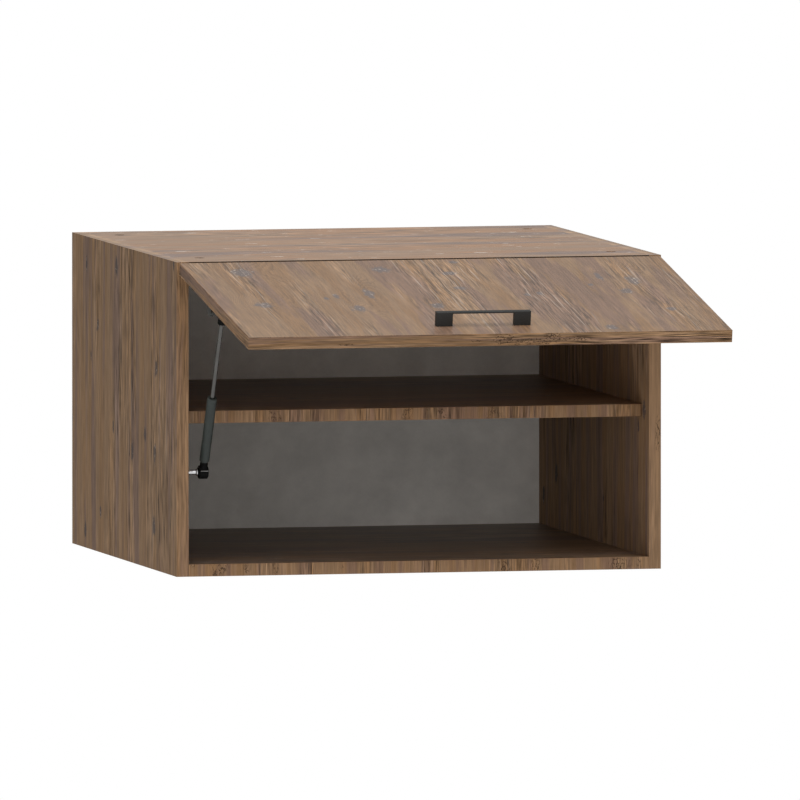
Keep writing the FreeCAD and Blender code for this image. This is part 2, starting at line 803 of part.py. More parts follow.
def rod_socket():
    """The upper socket: the same moulding turned over, at the raised door's ball."""
    result = socket()
    result.rotate(V(0, 0, 0), X_AXIS, 180)
    result.translate(V(0, 0, strut_run().Length))
    return result


def build():
    os.makedirs("parts", exist_ok=True)
    side_z = (0, top_z)
    level_x = (-inner_x, inner_x)
    corners = corner_places(cam_rows)

    save("left_side_panel", [side_panel(-1)])
    save("right_side_panel", [side_panel(1)])
    save("top_panel", [top_panel()])
    save("bottom_panel", [bottom_panel()])
    save("back_panel", [back_panel()])
    save("shelf", [shelf()])
    save("left_side_edge_band", [front_band((-half_width, -inner_x), side_z, front_y)])
    save("right_side_edge_band", [front_band((inner_x, half_width), side_z, front_y)])
    save("top_edge_band", [front_band(level_x, (ceiling_z, top_z), front_y)])
    save("bottom_edge_band", [front_band(level_x, (0, board), front_y)])
    save("shelf_edge_band", [shelf_band()])

    save("top_cam_locks", [cam_lock(side, y, top_z, 1) for side in SIDES for y in cam_rows])
    save("bottom_cam_locks", [cam_lock(side, y, 0, -1) for side in SIDES for y in cam_rows])
    save("cam_bolts", [cam_bolt(side, y, z) for side, y, z in corners])
    save("wood_dowels", [dowel(side, y, z) for side, y, z in corner_places(dowel_rows)])
    save("shelf_pins", [shelf_pin(side, y) for side, y in pin_places()])
    save("back_panel_nails", [nail(x, z) for x, z in nail_places()])
    save("hanger_brackets", [hanger_bracket(side) for side in SIDES])
    save("hanger_screws", [piece for side in SIDES for piece in wood_screws(hanger_side_screws(side))])

    save("hinge_mounting_plates", [hinge_plate(x) for x in hinge_places])
    save("hinge_plate_screws", [piece for x in hinge_places for piece in wood_screws(plate_screws(x))])
    save("hinge_arms", [hinge_arm(x) for x in hinge_places])
    arm_screw_length = arm_height + plate_thickness - wood_fit
    arm_pieces = [piece for x in hinge_places for piece in wood_screws(arm_screws(x), arm_screw_length)]
    save("hinge_arm_screws", arm_pieces)
    save("strut_stud_plate", [stud_plate()])
    save("stud_plate_screws", wood_screws(side_plate_screws()))
    save("side_ball_stud", [side_stud()])

    save("door_panel", [raised(door_panel())])
    save("door_top_edge_band", [raised(door_level_band(door_top_z - band))])
    save("door_free_edge_band", [raised(door_level_band(door_low_z))])
    save("door_left_edge_band", [raised(door_end_band(-1))])
    save("door_right_edge_band", [raised(door_end_band(1))])
    save("door_bumpers", [raised(bumper(side)) for side in SIDES])
    save("handle", [raised(handle())])
    save("handle_screws", [raised(handle_screw(at)) for at in handle_screw_places()])
    save("hinge_cups", [raised(hinge_cup(x)) for x in hinge_places])
    save("hinge_pins", [raised(hinge_pin(x)) for x in hinge_places])
    cup_spots = [spot for x in hinge_places for spot in cup_screws(x)]
    cup_pieces = wood_screws(cup_spots, cup_screw_length, cup_screw_head)
    save("hinge_cup_screws", [raised(piece) for piece in cup_pieces])
    save("strut_door_bracket", [raised(door_bracket())])
    save("door_bracket_screws", [raised(piece) for piece in wood_screws(bracket_screws())])
    save("door_ball_stud", [raised(door_ball_stud())])

    save("strut_rod", [leaned(strut_rod())])
    save("strut_piston", [leaned(strut_piston())])
    save("rod_socket", [leaned(rod_socket())])
    save("strut_tube", [leaned(strut_tube())])
    save("rod_guide", [leaned(rod_guide())])
    save("tube_socket", [leaned(socket())])
    save("lower_ball", [leaned(Part.makeSphere(ball_radius))])


build()
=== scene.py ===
import json
import math

import bmesh
import bpy
from bpy.props import FloatProperty, FloatVectorProperty, IntProperty, PointerProperty
from bpy.types import Operator, Panel, PropertyGroup
from mathutils import Matrix, Vector


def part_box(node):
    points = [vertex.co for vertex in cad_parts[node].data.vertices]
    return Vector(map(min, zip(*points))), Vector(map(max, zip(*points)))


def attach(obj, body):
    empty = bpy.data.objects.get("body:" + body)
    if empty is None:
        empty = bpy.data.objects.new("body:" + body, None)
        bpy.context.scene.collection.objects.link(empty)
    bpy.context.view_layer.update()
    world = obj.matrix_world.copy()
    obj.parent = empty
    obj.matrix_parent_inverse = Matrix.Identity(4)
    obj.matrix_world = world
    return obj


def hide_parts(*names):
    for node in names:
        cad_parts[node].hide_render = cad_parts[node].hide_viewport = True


bl_info = {
    "name": "Lift-up wall cabinet",
    "version": (1, 0, 0),
    "blender": (4, 5, 0),
    "location": "3D View > Sidebar > Cabinet",
    "description": "Decor, edge bands, handle, gas strut, fittings and studio of a wall cabinet",
    "category": "Object",
}

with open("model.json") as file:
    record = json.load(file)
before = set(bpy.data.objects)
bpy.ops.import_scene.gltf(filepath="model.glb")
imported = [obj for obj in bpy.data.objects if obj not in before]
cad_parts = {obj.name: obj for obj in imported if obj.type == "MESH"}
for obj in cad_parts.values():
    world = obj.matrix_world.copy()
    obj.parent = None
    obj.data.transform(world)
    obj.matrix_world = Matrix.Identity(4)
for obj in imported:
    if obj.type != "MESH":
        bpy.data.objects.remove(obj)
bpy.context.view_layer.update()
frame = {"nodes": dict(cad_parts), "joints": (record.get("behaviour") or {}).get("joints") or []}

MM = 0.001
X_AXIS, Y_AXIS, Z_AXIS = Vector((1, 0, 0)), Vector((0, 1, 0)), Vector((0, 0, 1))
MERGE = 1e-6  # metres between two vertices that become one
SHARP_ANGLE = math.radians(35.0)  # edges that turn more stay sharp in smooth shading
SQUARE_ANGLE = 1.0  # edges that turn more, in radians, are the corners of a block
FACING = 0.6  # a face looks along an axis when this much of its normal lies along it
BEYOND = 99.0  # how far away a mark is, in its own sizes, where a board has none


# ---- marks placed on the door and the bands ----
# knots and cracks as (along the grain, across it, half length, half width), in millimetres
DOOR_KNOTS = (
    (324, -233, 20, 12),
    (161, -242, 12, 10),
    (330, -60, 14, 10),
    (209, -102, 23, 5.5),
    (138, -131, 15, 8),
    (191, -159, 7, 3.5),
    (201, -145, 11, 4),
    (147, -32, 12, 8),
    (232, 15, 9, 7),
    (307, 19, 8, 9),
    (363, 37, 6, 5),
    (258, 235, 22, 7),
    (205, 214, 12, 7),
    (280, 198, 20, 4),
    (239, 179, 6, 3),
    (194, 90, 7, 4),
    (200, 106, 7, 4),
    (113, 248, 8, 6),
    (26, 154, 10, 7),
)
DOOR_CRACKS = (
    (16, -589, 14, 7),
    (50, -585, 26, 4),
    (76, -590, 12, 5),
    (104, -588, 18, 3),
    (-178, -585, 9, 1.3),
    (-18, -587, 8, 1.3),
)
BAND_CRACKS = (
    (161, 297, 19, 4.5),
    (190, -160, 8, 3),
    (190, -147, 7, 2.5),
    (190, -104, 8, 4),
    (190, 66, 6, 9),
    (190, 90, 7, 4),
    (190, 197, 8, 7),
    (7, -253, 8, 4),
    (9, -213, 6, 4),
    (9, -96, 2.5, 2.5),
    (7, 248, 8, 13),
    (10, 272, 2.5, 3),
)
DOOR_LOWER_END = 1.5  # height of the shut door's lower end, where its cracks lie
CARCASS_FRONT = -578  # the carcass's front plane, where the bands' cracks lie


# ---- places read from the frame ----
def joint(name):
    return next(item for item in frame["joints"] if item["name"] == name)


def middle(node):
    low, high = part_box(node)
    return (low + high) / 2


HINGE_POINT = Vector(joint("door_hinge")["pos_m"])
OPEN_TURN = math.radians(joint("door_hinge")["range_deg"][1])
REST = Matrix.Identity(4)
OPENED = (
    Matrix.Translation(HINGE_POINT)
    @ Matrix.Rotation(-OPEN_TURN, 4, "X")
    @ Matrix.Translation(-HINGE_POINT)
)
LOW_BALL = middle("lower_ball")
HIGH_BALL = Vector(joint("strut_lean")["pos_m"])
STRUT_LINE = Vector(joint("strut_stroke")["axis"]).normalized()
STRUT = Matrix.Translation(LOW_BALL) @ Matrix.Rotation(
    math.atan2(-STRUT_LINE.y, STRUT_LINE.z), 4, "X"
)


def local_box(node, place):
    """A CAD node's lowest and highest corner, measured in a turned place."""
    back = place.inverted()
    points = [back @ vertex.co for vertex in frame["nodes"][node].data.vertices]
    low = Vector([min(point[axis] for point in points) for axis in range(3)])
    high = Vector([max(point[axis] for point in points) for axis in range(3)])
    return low, high


# ---- sizes and colours that a user would change ----
def colour(name, description, default):
    return FloatVectorProperty(
        name=name, description=description, default=default, subtype="COLOR", min=0.0, max=1.0
    )


def metres(name, description, default, **limits):
    return FloatProperty(
        name=name, description=description, default=default, unit="LENGTH", **limits
    )


def length(name, description, millimetres):
    return metres(name, description, millimetres * MM, min=0.0, precision=5)


def degrees(name, description, default):
    return FloatProperty(
        name=name, description=description, default=math.radians(default), subtype="ANGLE"
    )


def strength(name, description, default):
    return FloatProperty(name=name, description=description, default=default, min=0.0)


class CabinetDecor(PropertyGroup):
    """Colours of the printed oak, the back panel, the handle and the tube."""

    light_wood: colour("Light wood", "Palest wood between the growth lines", (0.250, 0.152, 0.084))
    warm_wood: colour("Warm wood", "Orange brown streaks", (0.230, 0.130, 0.063))
    grey_stain: colour("Grey stain", "Violet grey weathered streaks", (0.196, 0.117, 0.077))
    dark_line: colour("Dark line", "Late wood, pores and cracks", (0.052, 0.029, 0.017))
    knot: colour("Knot", "Blue grey heart of a knot", (0.122, 0.100, 0.096))
    side_mark: colour("Side mark", "Short dark marks in the side panels", (0.060, 0.051, 0.050))
    fleck: colour("Fleck", "White flecks and brush marks", (0.56, 0.46, 0.38))
    back_grey: colour("Back panel", "Grey face of the back panel", (0.835, 0.81, 0.765))
    back_brown: colour("Back panel rear", "Raw hardboard towards the wall", (0.21, 0.125, 0.066))
    coat_black: colour("Handle black", "Powder coat of the handle", (0.010, 0.010, 0.009))
    tube_grey: colour("Strut tube", "Lacquer of the strut's cylinder", (0.030, 0.036, 0.033))


class CabinetSizes(PropertyGroup):
    """Sizes of the finer forms that stand for the plain CAD pieces."""

    band_round: length("Band rounding", "Scraped edge of a band", 0.5)
    handle_foot: length("Handle foot", "Width of a foot along the handle", 20.4)
    handle_bar: length("Handle bar", "Thickness of the bar between the feet", 2.2)
    handle_round: length("Handle rounding", "Rounding of the handle's edges", 0.55)
    tube_groove: length("Tube groove", "Depth of the rolled groove near the tube's mouth", 0.3)
    clip_wire: length("Clip wire", "Radius of a socket's safety clip", 0.45)
    clip_height: length("Clip height", "A safety clip above its socket's ball", 5.4)
    facets: IntProperty(
        name="Facets", description="Sides of the turned pieces", default=64, min=12, max=256
    )


class CabinetStage(PropertyGroup):
    """Camera, floor and light."""

    azimuth: degrees("Azimuth", "Camera angle round the cabinet", -13.132)
    elevation: degrees("Elevation", "Camera angle above the horizon", 3.954)
    distance: metres("Distance", "Camera to the cabinet", 46.0, min=1.0)
    picture_width: metres("Picture width", "Width of the view at the cabinet", 0.96691, min=0.1)
    floor_height: metres("Floor height", "Floor below the hanging cabinet", -0.62)
    floor_radius: metres("Floor radius", "Radius of the pale floor", 2.1, min=1.0)
    ambient: strength("Ambient", "Strength of the even light", 0.43)
    top_light: strength("Top light", "Strength of the soft light above", 2.60)
    front_light: strength("Front light", "Strength of the soft light in front", 0.90)


# ---- node trees ----
class Web:
    """A node tree under construction: each call adds a node and returns its output."""

    def __init__(self, tree):
        self.tree = tree

    @classmethod
    def group(cls, name, inputs, outputs):
        """An empty shader group; inputs are (name, kind, default) and outputs (name, kind)."""
        tree = bpy.data.node_groups.new(name, "ShaderNodeTree")
        for label, kind, default in inputs:
            socket = tree.interface.new_socket(
                name=label, in_out="INPUT", socket_type="NodeSocket" + kind
            )
            if default is not None:
                socket.default_value = default
        for label, kind in outputs:
            tree.interface.new_socket(
                name=label, in_out="OUTPUT", socket_type="NodeSocket" + kind
            )
        web = cls(tree)
        web.inputs = tree.nodes.new("NodeGroupInput").outputs
        web.outputs = tree.nodes.new("NodeGroupOutput").inputs
        return web

    def put(self, socket, value):
        if isinstance(value, bpy.types.NodeSocket):
            self.tree.links.new(value, socket)
        elif value is not None:
            socket.default_value = value

    def add(self, kind, values=(), **settings):
        """A node of a kind; values go to its input sockets in order."""
        node = self.tree.nodes.new("ShaderNode" + kind)
        for name, setting in settings.items():
            setattr(node, name, setting)
        for socket, value in zip(node.inputs, values):
            self.put(socket, value)
        return node

    def use(self, group, **values):
        """A group node; values go to the sockets named with spaces for underscores."""
        node = self.tree.nodes.new("ShaderNodeGroup")
        node.node_tree = group
        for name, value in values.items():
            self.put(node.inputs[name.replace("_", " ")], value)
        return node.outputs

    def math(self, operation, *values, clamp=False):
        return self.add("Math", values, operation=operation, use_clamp=clamp).outputs[0]

    def plus(self, first, second):
        return self.math("ADD", first, second)

    def minus(self, first, second):
        return self.math("SUBTRACT", first, second)

    def times(self, first, second):
        return self.math("MULTIPLY", first, second)

    def blend(self, first, factor, rest):
        """The first value times a factor, and the rest added."""
        return self.math("MULTIPLY_ADD", first, factor, rest)

    def scaled(self, vector, x, y, z, shift=(0, 0, 0)):
        """A vector stretched along its axes and then shifted."""
        node = self.add("VectorMath", (vector, (x, y, z), shift), operation="MULTIPLY_ADD")
        return node.outputs[0]

    def split(self, vector):
        return self.add("SeparateXYZ", (vector,)).outputs

    def joined(self, x, y, z):
        return self.add("CombineXYZ", (x, y, z)).outputs[0]

    def noise(self, vector, detail=2.0, roughness=0.5, scale=1.0):
        node = self.add("TexNoise")
        values = {"Vector": vector, "Scale": scale, "Detail": detail, "Roughness": roughness}
        for name, value in values.items():
            self.put(node.inputs[name], value)
        return node.outputs[0]

    def step(self, value, start, end):
        """A soft step from 0 to 1 as the value goes from start to end."""
        node = self.add("MapRange", (value, start, end, 0.0, 1.0), interpolation_type="SMOOTHSTEP")
        return node.outputs[0]

    def span(self, value, start, end, low, high):
        """From low to high as the value goes from start to end."""
        return self.add("MapRange", (value, start, end, low, high)).outputs[0]

    def spread(self, noise, low, high):
        """From low to high over the part of its range that a noise mostly fills."""
        return self.span(noise, 0.3, 0.7, low, high)

    def mix(self, factor, first, second, mode="MIX"):
        node = self.add("Mix", data_type="RGBA", blend_type=mode)
        for index, value in ((0, factor), (6, first), (7, second)):
            self.put(node.inputs[index], value)
        return node.outputs[2]

    def choose(self, factor, first, second):
        """One of two vectors."""
        node = self.add("Mix", data_type="VECTOR")
        for index, value in ((0, factor), (4, first), (5, second)):
            self.put(node.inputs[index], value)
        return node.outputs[1]

    def shade(self, colour_in, value):
        """A colour made darker or lighter by a value round 1."""
        return self.mix(1.0, colour_in, self.joined(value, value, value), "MULTIPLY")


def rgba(triple):
    return (*triple, 1.0)


def once(make):
    """Keeps what a maker of a group or a material returned, so that it is built once."""
    kept = {}

    def kept_or_made(*values, **named):
        key = values + tuple(named.items())
        if key not in kept:
            kept[key] = make(*values, **named)
        return kept[key]

    return kept_or_made


@once
def board_grain():
    """Turns a place on a board into (along the grain, across it, depth).

    The grain runs left to right on faces that look up or down, and up on all others.
    """
    inputs = (("Position", "Vector", None), ("Normal", "Vector", None))
    web = Web.group("Board grain", inputs, (("Grain", "Vector"),))
    x, y, z = web.split(web.inputs["Position"])
    unsigned = web.add("VectorMath", (web.inputs["Normal"],), operation="ABSOLUTE")
    normal = web.split(unsigned.outputs[0])
    faces_front = web.math("GREATER_THAN", normal[1], FACING)
    faces_up = web.math("GREATER_THAN", normal[2], FACING)
    grain = web.choose(faces_front, web.joined(z, y, x), web.joined(z, x, y))
    web.put(web.outputs["Grain"], web.choose(faces_up, grain, web.joined(x, y, z)))
    return web.tree


# cells that may hold a knot: repeats per metre along the grain and across it, their shift
# per metre of depth, and the smallest and largest knot as a part of the usual size
CELLS_ALONG, CELLS_ACROSS = 9.0, 15.0
SHIFT_ALONG, SHIFT_ACROSS = 37.0, 11.0
KNOT_SIZES = (0.6, 1.5)


@once
def scattered_knots():
    """How far a place lies from the nearest knot of the board's cells, in knot radii."""
    inputs = (("Grain", "Vector", None), ("Share", "Float", 0.4), ("Size", "Float", 0.075))
    web = Web.group("Scattered knots", inputs, (("Reach", "Float"),))
    along, across, deep = web.split(web.inputs["Grain"])
    place = web.joined(
        web.blend(along, CELLS_ALONG, web.times(deep, SHIFT_ALONG)),
        web.blend(across, CELLS_ACROSS, web.times(deep, SHIFT_ACROSS)),
        0.0,
    )
    cells = web.add("TexVoronoi", (place,), voronoi_dimensions="2D")
    cells.inputs["Scale"].default_value = 1.0
    chance = web.split(cells.outputs["Color"])
    size = web.times(web.inputs["Size"], web.span(chance[1], 0, 1, *KNOT_SIZES))
    absent = web.math("GREATER_THAN", chance[0], web.inputs["Share"])
    reach = web.math("DIVIDE", cells.outputs["Distance"], size)
    web.put(web.outputs["Reach"], web.blend(absent, BEYOND, reach))
    return web.tree


@once
def placed_marks(name, places, depth=None):
    """How far a place lies from the nearest mark of a list, in that mark's half sizes.

    A depth, in millimetres, keeps the marks to the face that lies there.
    """
    web = Web.group(name, (("Grain", "Vector", None),), (("Reach", "Float"),))
    deep, per_depth = (0.0, 0.0) if depth is None else (depth * MM, 1 / MM)
    nearest = BEYOND
    for along, across, half_length, half_width in places:
        centre = (along * MM, across * MM, deep)
        off = web.add("VectorMath", (web.inputs["Grain"], centre), operation="SUBTRACT").outputs[0]
        off = web.scaled(off, 1 / (half_length * MM), 1 / (half_width * MM), per_depth)
        away = web.add("VectorMath", (off,), operation="LENGTH").outputs["Value"]
        nearest = web.math("MINIMUM", nearest, away)
    web.put(web.outputs["Reach"], nearest)
    return web.tree


# the decor's noises: repeats per metre (along the grain, across it, in depth), shift, detail,
# roughness, and for a mask the value where it is 0 and the value where it is 1
DECOR_NOISES = {
    "sway": ((4, 7, 3), (0, 0, 0), 2, 0.5),
    "ripple": ((26, 60, 5), (0, 0, 0), 2, 0.5),
    "blotch": ((90, 130, 5), (0, 0, 0), 3, 0.6),
    "tone": ((7, 210, 16), (5, 2, 0), 4, 0.65),
    "fibre": ((30, 620, 40), (0, 0, 0), 3, 0.5),
    "hairs": ((9, 420, 10), (0, 0, 0), 2, 0.5),
    "scribble": ((130, 330, 10), (0, 0, 0), 2, 0.5),
    "stain": ((2.2, 22, 7), (0, 0, 0), 6, 0.58, 0.495, 0.58),
    "warmth": ((2.8, 32, 7), (3.3, 7.1, 0), 6, 0.58, 0.45, 0.57),
    "lined": ((3.2, 13, 3), (4, 1, 0), 2, 0.5, 0.46, 0.62),
    "busy": ((2.4, 20, 6), (1, 5, 0), 2, 0.5, 0.47, 0.60),
    "spots": ((34, 110, 0), (7, 7, 7), 3, 0.6, 0.665, 0.70),
    "specks": ((170, 260, 10), (0, 0, 0), 2, 0.5, 0.60, 0.68),
    "cluster": ((20, 42, 10), (8, 3, 0), 1, 0.5, 0.60, 0.70),
}
# settings of the decor that a board leaves alone
DECOR_SETTINGS = {
    "Spread": 1.0, "Wander": 0.012, "Figure": 1.0, "Streaks": 1.0, "Flecks": 1.0,
    "Spots": 0.0, "Cracks": 1.0, "Bands": 1.0, "Grit": 1.0, "Tone": 1.0,
}
# where the other masks are 0 and where they are 1
KNOT_EDGE, HALO_EDGE = (2.45, 1.75), (5.0, 0.5)
LINE_RISE, LINE_FALL = (0.3, 0.9), (1.0, 0.92)
WHITE_HAIR_EDGE, DARK_HAIR_EDGE = (0.55, 0.68), (0.45, 0.33)
CRACK_EDGE, SPLIT_EDGE = (0.045, 0.018), (1.9, 1.4)
# how far the blotches fray knots and splits, how much of the sway is ripple, and how many
# metres the grain gives way round a knot
KNOT_FRAY, SPLIT_FRAY, RIPPLE_PART, HALO_SHIFT = 2.2, 1.2, 0.14, 0.0015
# growth lines per metre, more of them round a knot, and their wobble
LINE_COUNT, LINES_AT_KNOT, LINE_WOBBLE = 250.0, 7.0, 2.2
# shares of fibre and tone in the grit, its middle, and its depth in busy and calm bands
GRIT_FIBRE, GRIT_TONE, GRIT_MIDDLE, GRIT_BUSY, GRIT_CALM = 0.95, 0.75, 0.85, 1.5, 0.8
# how far each mark covers the wood
LINE_MIX, KNOT_MIX, CRACK_MIX = 0.26, 0.85, 0.95
WHITE_HAIR_MIX, DARK_HAIR_MIX, SPECK_MIX = 0.38, 0.45, 0.65
# heights of fibre and brush marks, depth of a growth line, and the fibre's part in roughness
FIBRE_HEIGHT, HAIR_HEIGHT, LINE_DEPTH, FIBRE_ROUGHNESS = 0.6, 0.5, 0.35, 0.16


@once
def oak_decor():
    """Weathered rustic oak: streaks, growth lines, knots, brush marks and cracks."""
    colours = ("Light wood", "Warm wood", "Grey stain", "Dark line", "Knot", "Fleck")
    inputs = [("Grain", "Vector", None), ("Knots", "Float", BEYOND), ("Splits", "Float", BEYOND)]
    inputs += [(name, "Color", None) for name in colours]
    inputs += [(name, "Float", default) for name, default in DECOR_SETTINGS.items()]
    outputs = (("Color", "Color"), ("Roughness", "Float"), ("Height", "Float"))
    web = Web.group("Oak decor", inputs, outputs)
    source = web.inputs
    board = source["Grain"]

    def noise(name, place):
        rates, shift, detail, roughness, *edge = DECOR_NOISES[name]
        value = web.noise(web.scaled(place, *rates, shift), detail, roughness)
        return web.step(value, *edge) if edge else value

    # the grain wanders, and gives way round the knots
    along, across, deep = web.split(board)
    sway = web.minus(noise("sway", board), 0.5)
    ripple = web.minus(noise("ripple", board), 0.5)
    sway = web.times(source["Wander"], web.blend(ripple, RIPPLE_PART, sway))
    bent = web.blend(across, source["Spread"], sway)
    blotch = noise("blotch", board)
    core = web.step(web.blend(blotch, KNOT_FRAY, source["Knots"]), *KNOT_EDGE)
    halo = web.step(source["Knots"], *HALO_EDGE)
    given_way = web.blend(halo, HALO_SHIFT, bent)
    grain = web.joined(along, given_way, deep)

    # layered streaks: each noise holds broad patches and the fine ones that fray their edges
    banded = web.joined(along, web.times(given_way, source["Bands"]), deep)
    warmth = web.times(noise("warmth", banded), source["Streaks"])
    stain = web.times(noise("stain", banded), source["Streaks"])
    wood = web.mix(warmth, source["Light wood"], source["Warm wood"])
    wood = web.mix(stain, wood, source["Grey stain"])

    # growth lines, crowded round the knots
    tone = noise("tone", grain)
    crowded = web.blend(halo, LINES_AT_KNOT, web.times(tone, LINE_WOBBLE))
    saw = web.math("FRACT", web.blend(bent, LINE_COUNT, crowded))
    line = web.times(web.step(saw, *LINE_RISE), web.step(saw, *LINE_FALL))
    lined = web.math("MAXIMUM", noise("lined", grain), web.times(halo, 0.8))
    line = web.times(web.times(line, lined), source["Figure"])
    wood = web.mix(web.times(line, LINE_MIX), wood, source["Dark line"])

    # fine light and dark fibres, stronger in busy bands, and the hearts of the knots
    fibre = noise("fibre", grain)
    busy = noise("busy", grain)
    depth = web.times(source["Grit"], web.blend(busy, GRIT_BUSY, GRIT_CALM))
    grit = web.blend(fibre, GRIT_FIBRE, web.times(tone, GRIT_TONE))
    wood = web.shade(wood, web.blend(web.minus(grit, GRIT_MIDDLE), depth, 1.0))
    wood = web.mix(web.times(core, KNOT_MIX), wood, source["Knot"])

    # white brush marks with dark lines between them, white spots, and specks in the knots
    hairs = noise("hairs", grain)
    white_hair = web.times(busy, web.step(hairs, *WHITE_HAIR_EDGE))
    dark_hair = web.times(busy, web.step(hairs, *DARK_HAIR_EDGE))
    speck = web.times(core, noise("specks", grain))
    white = web.blend(white_hair, WHITE_HAIR_MIX, web.times(speck, SPECK_MIX))
    white = web.times(white, source["Flecks"])
    spots = noise("spots", board)
    white = web.math("MULTIPLY_ADD", spots, source["Spots"], white, clamp=True)
    wood = web.mix(white, wood, source["Fleck"])
    dark = web.times(web.times(dark_hair, DARK_HAIR_MIX), source["Flecks"])
    wood = web.mix(dark, wood, source["Dark line"])

    # scribbled cracks in clusters and at the placed splits
    scribble = web.math("ABSOLUTE", web.minus(noise("scribble", board), 0.5))
    split = web.step(web.blend(blotch, SPLIT_FRAY, source["Splits"]), *SPLIT_EDGE)
    cluster = web.times(noise("cluster", grain), source["Cracks"])
    crack = web.times(web.step(scribble, *CRACK_EDGE), web.math("MAXIMUM", cluster, split))
    wood = web.mix(web.times(crack, CRACK_MIX), wood, source["Dark line"])

    # Tone scales the whole colour; the side boards use it for painted light, the top band for
    # painted shadow
    web.put(web.outputs["Color"], web.shade(wood, source["Tone"]))
    web.put(web.outputs["Roughness"], web.times(web.minus(fibre, 0.5), FIBRE_ROUGHNESS))
    height = web.blend(fibre, FIBRE_HEIGHT, web.times(white_hair, HAIR_HEIGHT))
    hollow = web.plus(crack, web.times(line, LINE_DEPTH))
    web.put(web.outputs["Height"], web.minus(height, hollow))
    return web.tree


@once
def handling_marks():
    """Fine scratches, smudges and a grainy skin, for metal, lacquer and plastic."""
    web = Web.group(
        "Handling marks",
        (("Position", "Vector", None), ("Grain size", "Float", 0.0006)),
        (("Scratches", "Float"), ("Smudges", "Float"), ("Skin", "Float")),
    )
    place = web.inputs["Position"]
    lines = web.noise(web.scaled(place, 140, 900, 2600), 2)
    crossing = web.noise(web.scaled(place, 2200, 160, 1100, (3, 1, 7)), 2)
    scratches = web.math("MAXIMUM", web.step(lines, 0.66, 0.76), web.step(crossing, 0.69, 0.78))
    smudges = web.step(web.noise(web.scaled(place, 55, 70, 60), 3, 0.6), 0.3, 0.7)
    skin = web.noise(place, scale=web.math("DIVIDE", 1.0, web.inputs["Grain size"]))
    web.put(web.outputs["Scratches"], scratches)
    web.put(web.outputs["Smudges"], smudges)
    web.put(web.outputs["Skin"], skin)
    return web.tree


@once
def edge_wear():
    """A mask that is 1 on a piece's rounded and sharp edges, broken up as by handling."""
    inputs = (("Position", "Vector", None), ("Width", "Float", 0.0008))
    web = Web.group("Edge wear", inputs, (("Mask", "Float"),))
    rounded = web.add("Bevel", (web.inputs["Width"],), samples=6).outputs[0]
    plain = web.add("NewGeometry").outputs["Normal"]
    alike = web.add("VectorMath", (rounded, plain), operation="DOT_PRODUCT").outputs["Value"]
    patches = web.noise(web.scaled(web.inputs["Position"], 260, 260, 260), 3, 0.6)
    mask = web.times(web.step(alike, 0.995, 0.86), web.step(patches, 0.35, 0.62))
    web.put(web.outputs["Mask"], mask)
    return web.tree


# ---- materials ----
def new_material(name):
    """A material's web, its Principled shader's sockets and its object coordinates."""
    material = bpy.data.materials.new(name)
    material.use_nodes = True
    material.node_tree.nodes.clear()
    web = Web(material.node_tree)
    shader = web.add("BsdfPrincipled")
    output = web.add("OutputMaterial")
    web.put(output.inputs["Surface"], shader.outputs[0])
    return material, web, shader.inputs, web.add("TexCoord").outputs


def set_sockets(sockets, **values):
    for name, value in values.items():
        sockets[name.replace("_", " ")].default_value = value


SKIN_DEPTH, WOOD_DEPTH = 0.0001, 0.0003  # metres that a bump stands out
COAT_ROUGHNESS = 0.34


def bump(web, sockets, height, strong, depth=SKIN_DEPTH):
    node = web.add("Bump")
    node.inputs["Strength"].default_value = strong
    node.inputs["Distance"].default_value = depth
    web.put(node.inputs["Height"], height)
    web.put(sockets["Normal"], node.outputs[0])


def shut_coordinates(web, coordinates):
    """Object coordinates and normal turned to where the door lies when it is shut."""
    turn = Matrix.Rotation(OPEN_TURN, 3, "X")
    place = web.add("Mapping", (coordinates["Object"],), vector_type="POINT")
    place.inputs["Location"].default_value = HINGE_POINT - turn @ HINGE_POINT
    place.inputs["Rotation"].default_value = (OPEN_TURN, 0, 0)
    normal = web.add("Mapping", (coordinates["Normal"],), vector_type="VECTOR")
    normal.inputs["Rotation"].default_value = (OPEN_TURN, 0, 0)
    return place.outputs[0], normal.outputs[0]


@once
def oak(
    name, layers, gloss, rough, on_door=False, knots=None, splits=None, coat=0.0, light=None
):
    """The oak decor on a board or a band.

    Layers say how strong each part of the decor is, knots and splits where marks lie. A coat
    gives the faces that look up a sheen. Light is painted light: it says how much lighter the
    colour is made on faces that look up, and on faces within the carcass.
    """
    decor = bpy.context.scene.cabinet_decor
    material, web, sockets, coordinates = new_material(name)
    if on_door:
        place, normal = shut_coordinates(web, coordinates)
    else:
        place, normal = coordinates["Object"], coordinates["Normal"]
    grain = web.use(board_grain(), Position=place, Normal=normal)["Grain"]
    values = {"Knots": knots, "Splits": splits}
    for socket, group in values.items():
        values[socket] = web.use(group, Grain=grain)["Reach"] if group else BEYOND
    for socket in ("Light_wood", "Warm_wood", "Grey_stain", "Dark_line", "Knot", "Fleck"):
        values[socket] = rgba(getattr(decor, socket.lower()))
    values.update(layers)
    up = web.math("GREATER_THAN", web.split(normal)[2], FACING)
    # painted light: faces that look up, and faces within the carcass, are given a lighter colour
    if light:
        painted_top_light, painted_inner_light = light
        outer = web.math("ABSOLUTE", web.split(place)[0])
        within = web.math("LESS_THAN", outer, abs(middle("left_side_panel").x))
        painted_light_within = web.blend(within, painted_inner_light - 1.0, 1.0)
        values["Tone"] = web.blend(up, painted_top_light - 1.0, painted_light_within)
    wood = web.use(oak_decor(), Grain=grain, **values)
    web.put(sockets["Base Color"], wood["Color"])
    web.put(sockets["Roughness"], web.plus(wood["Roughness"], rough))
    set_sockets(sockets, Specular_IOR_Level=gloss, Coat_Roughness=COAT_ROUGHNESS)
    if coat:
        web.put(sockets["Coat Weight"], web.times(up, coat))
    bump(web, sockets, wood["Height"], 0.25, WOOD_DEPTH)
    return material


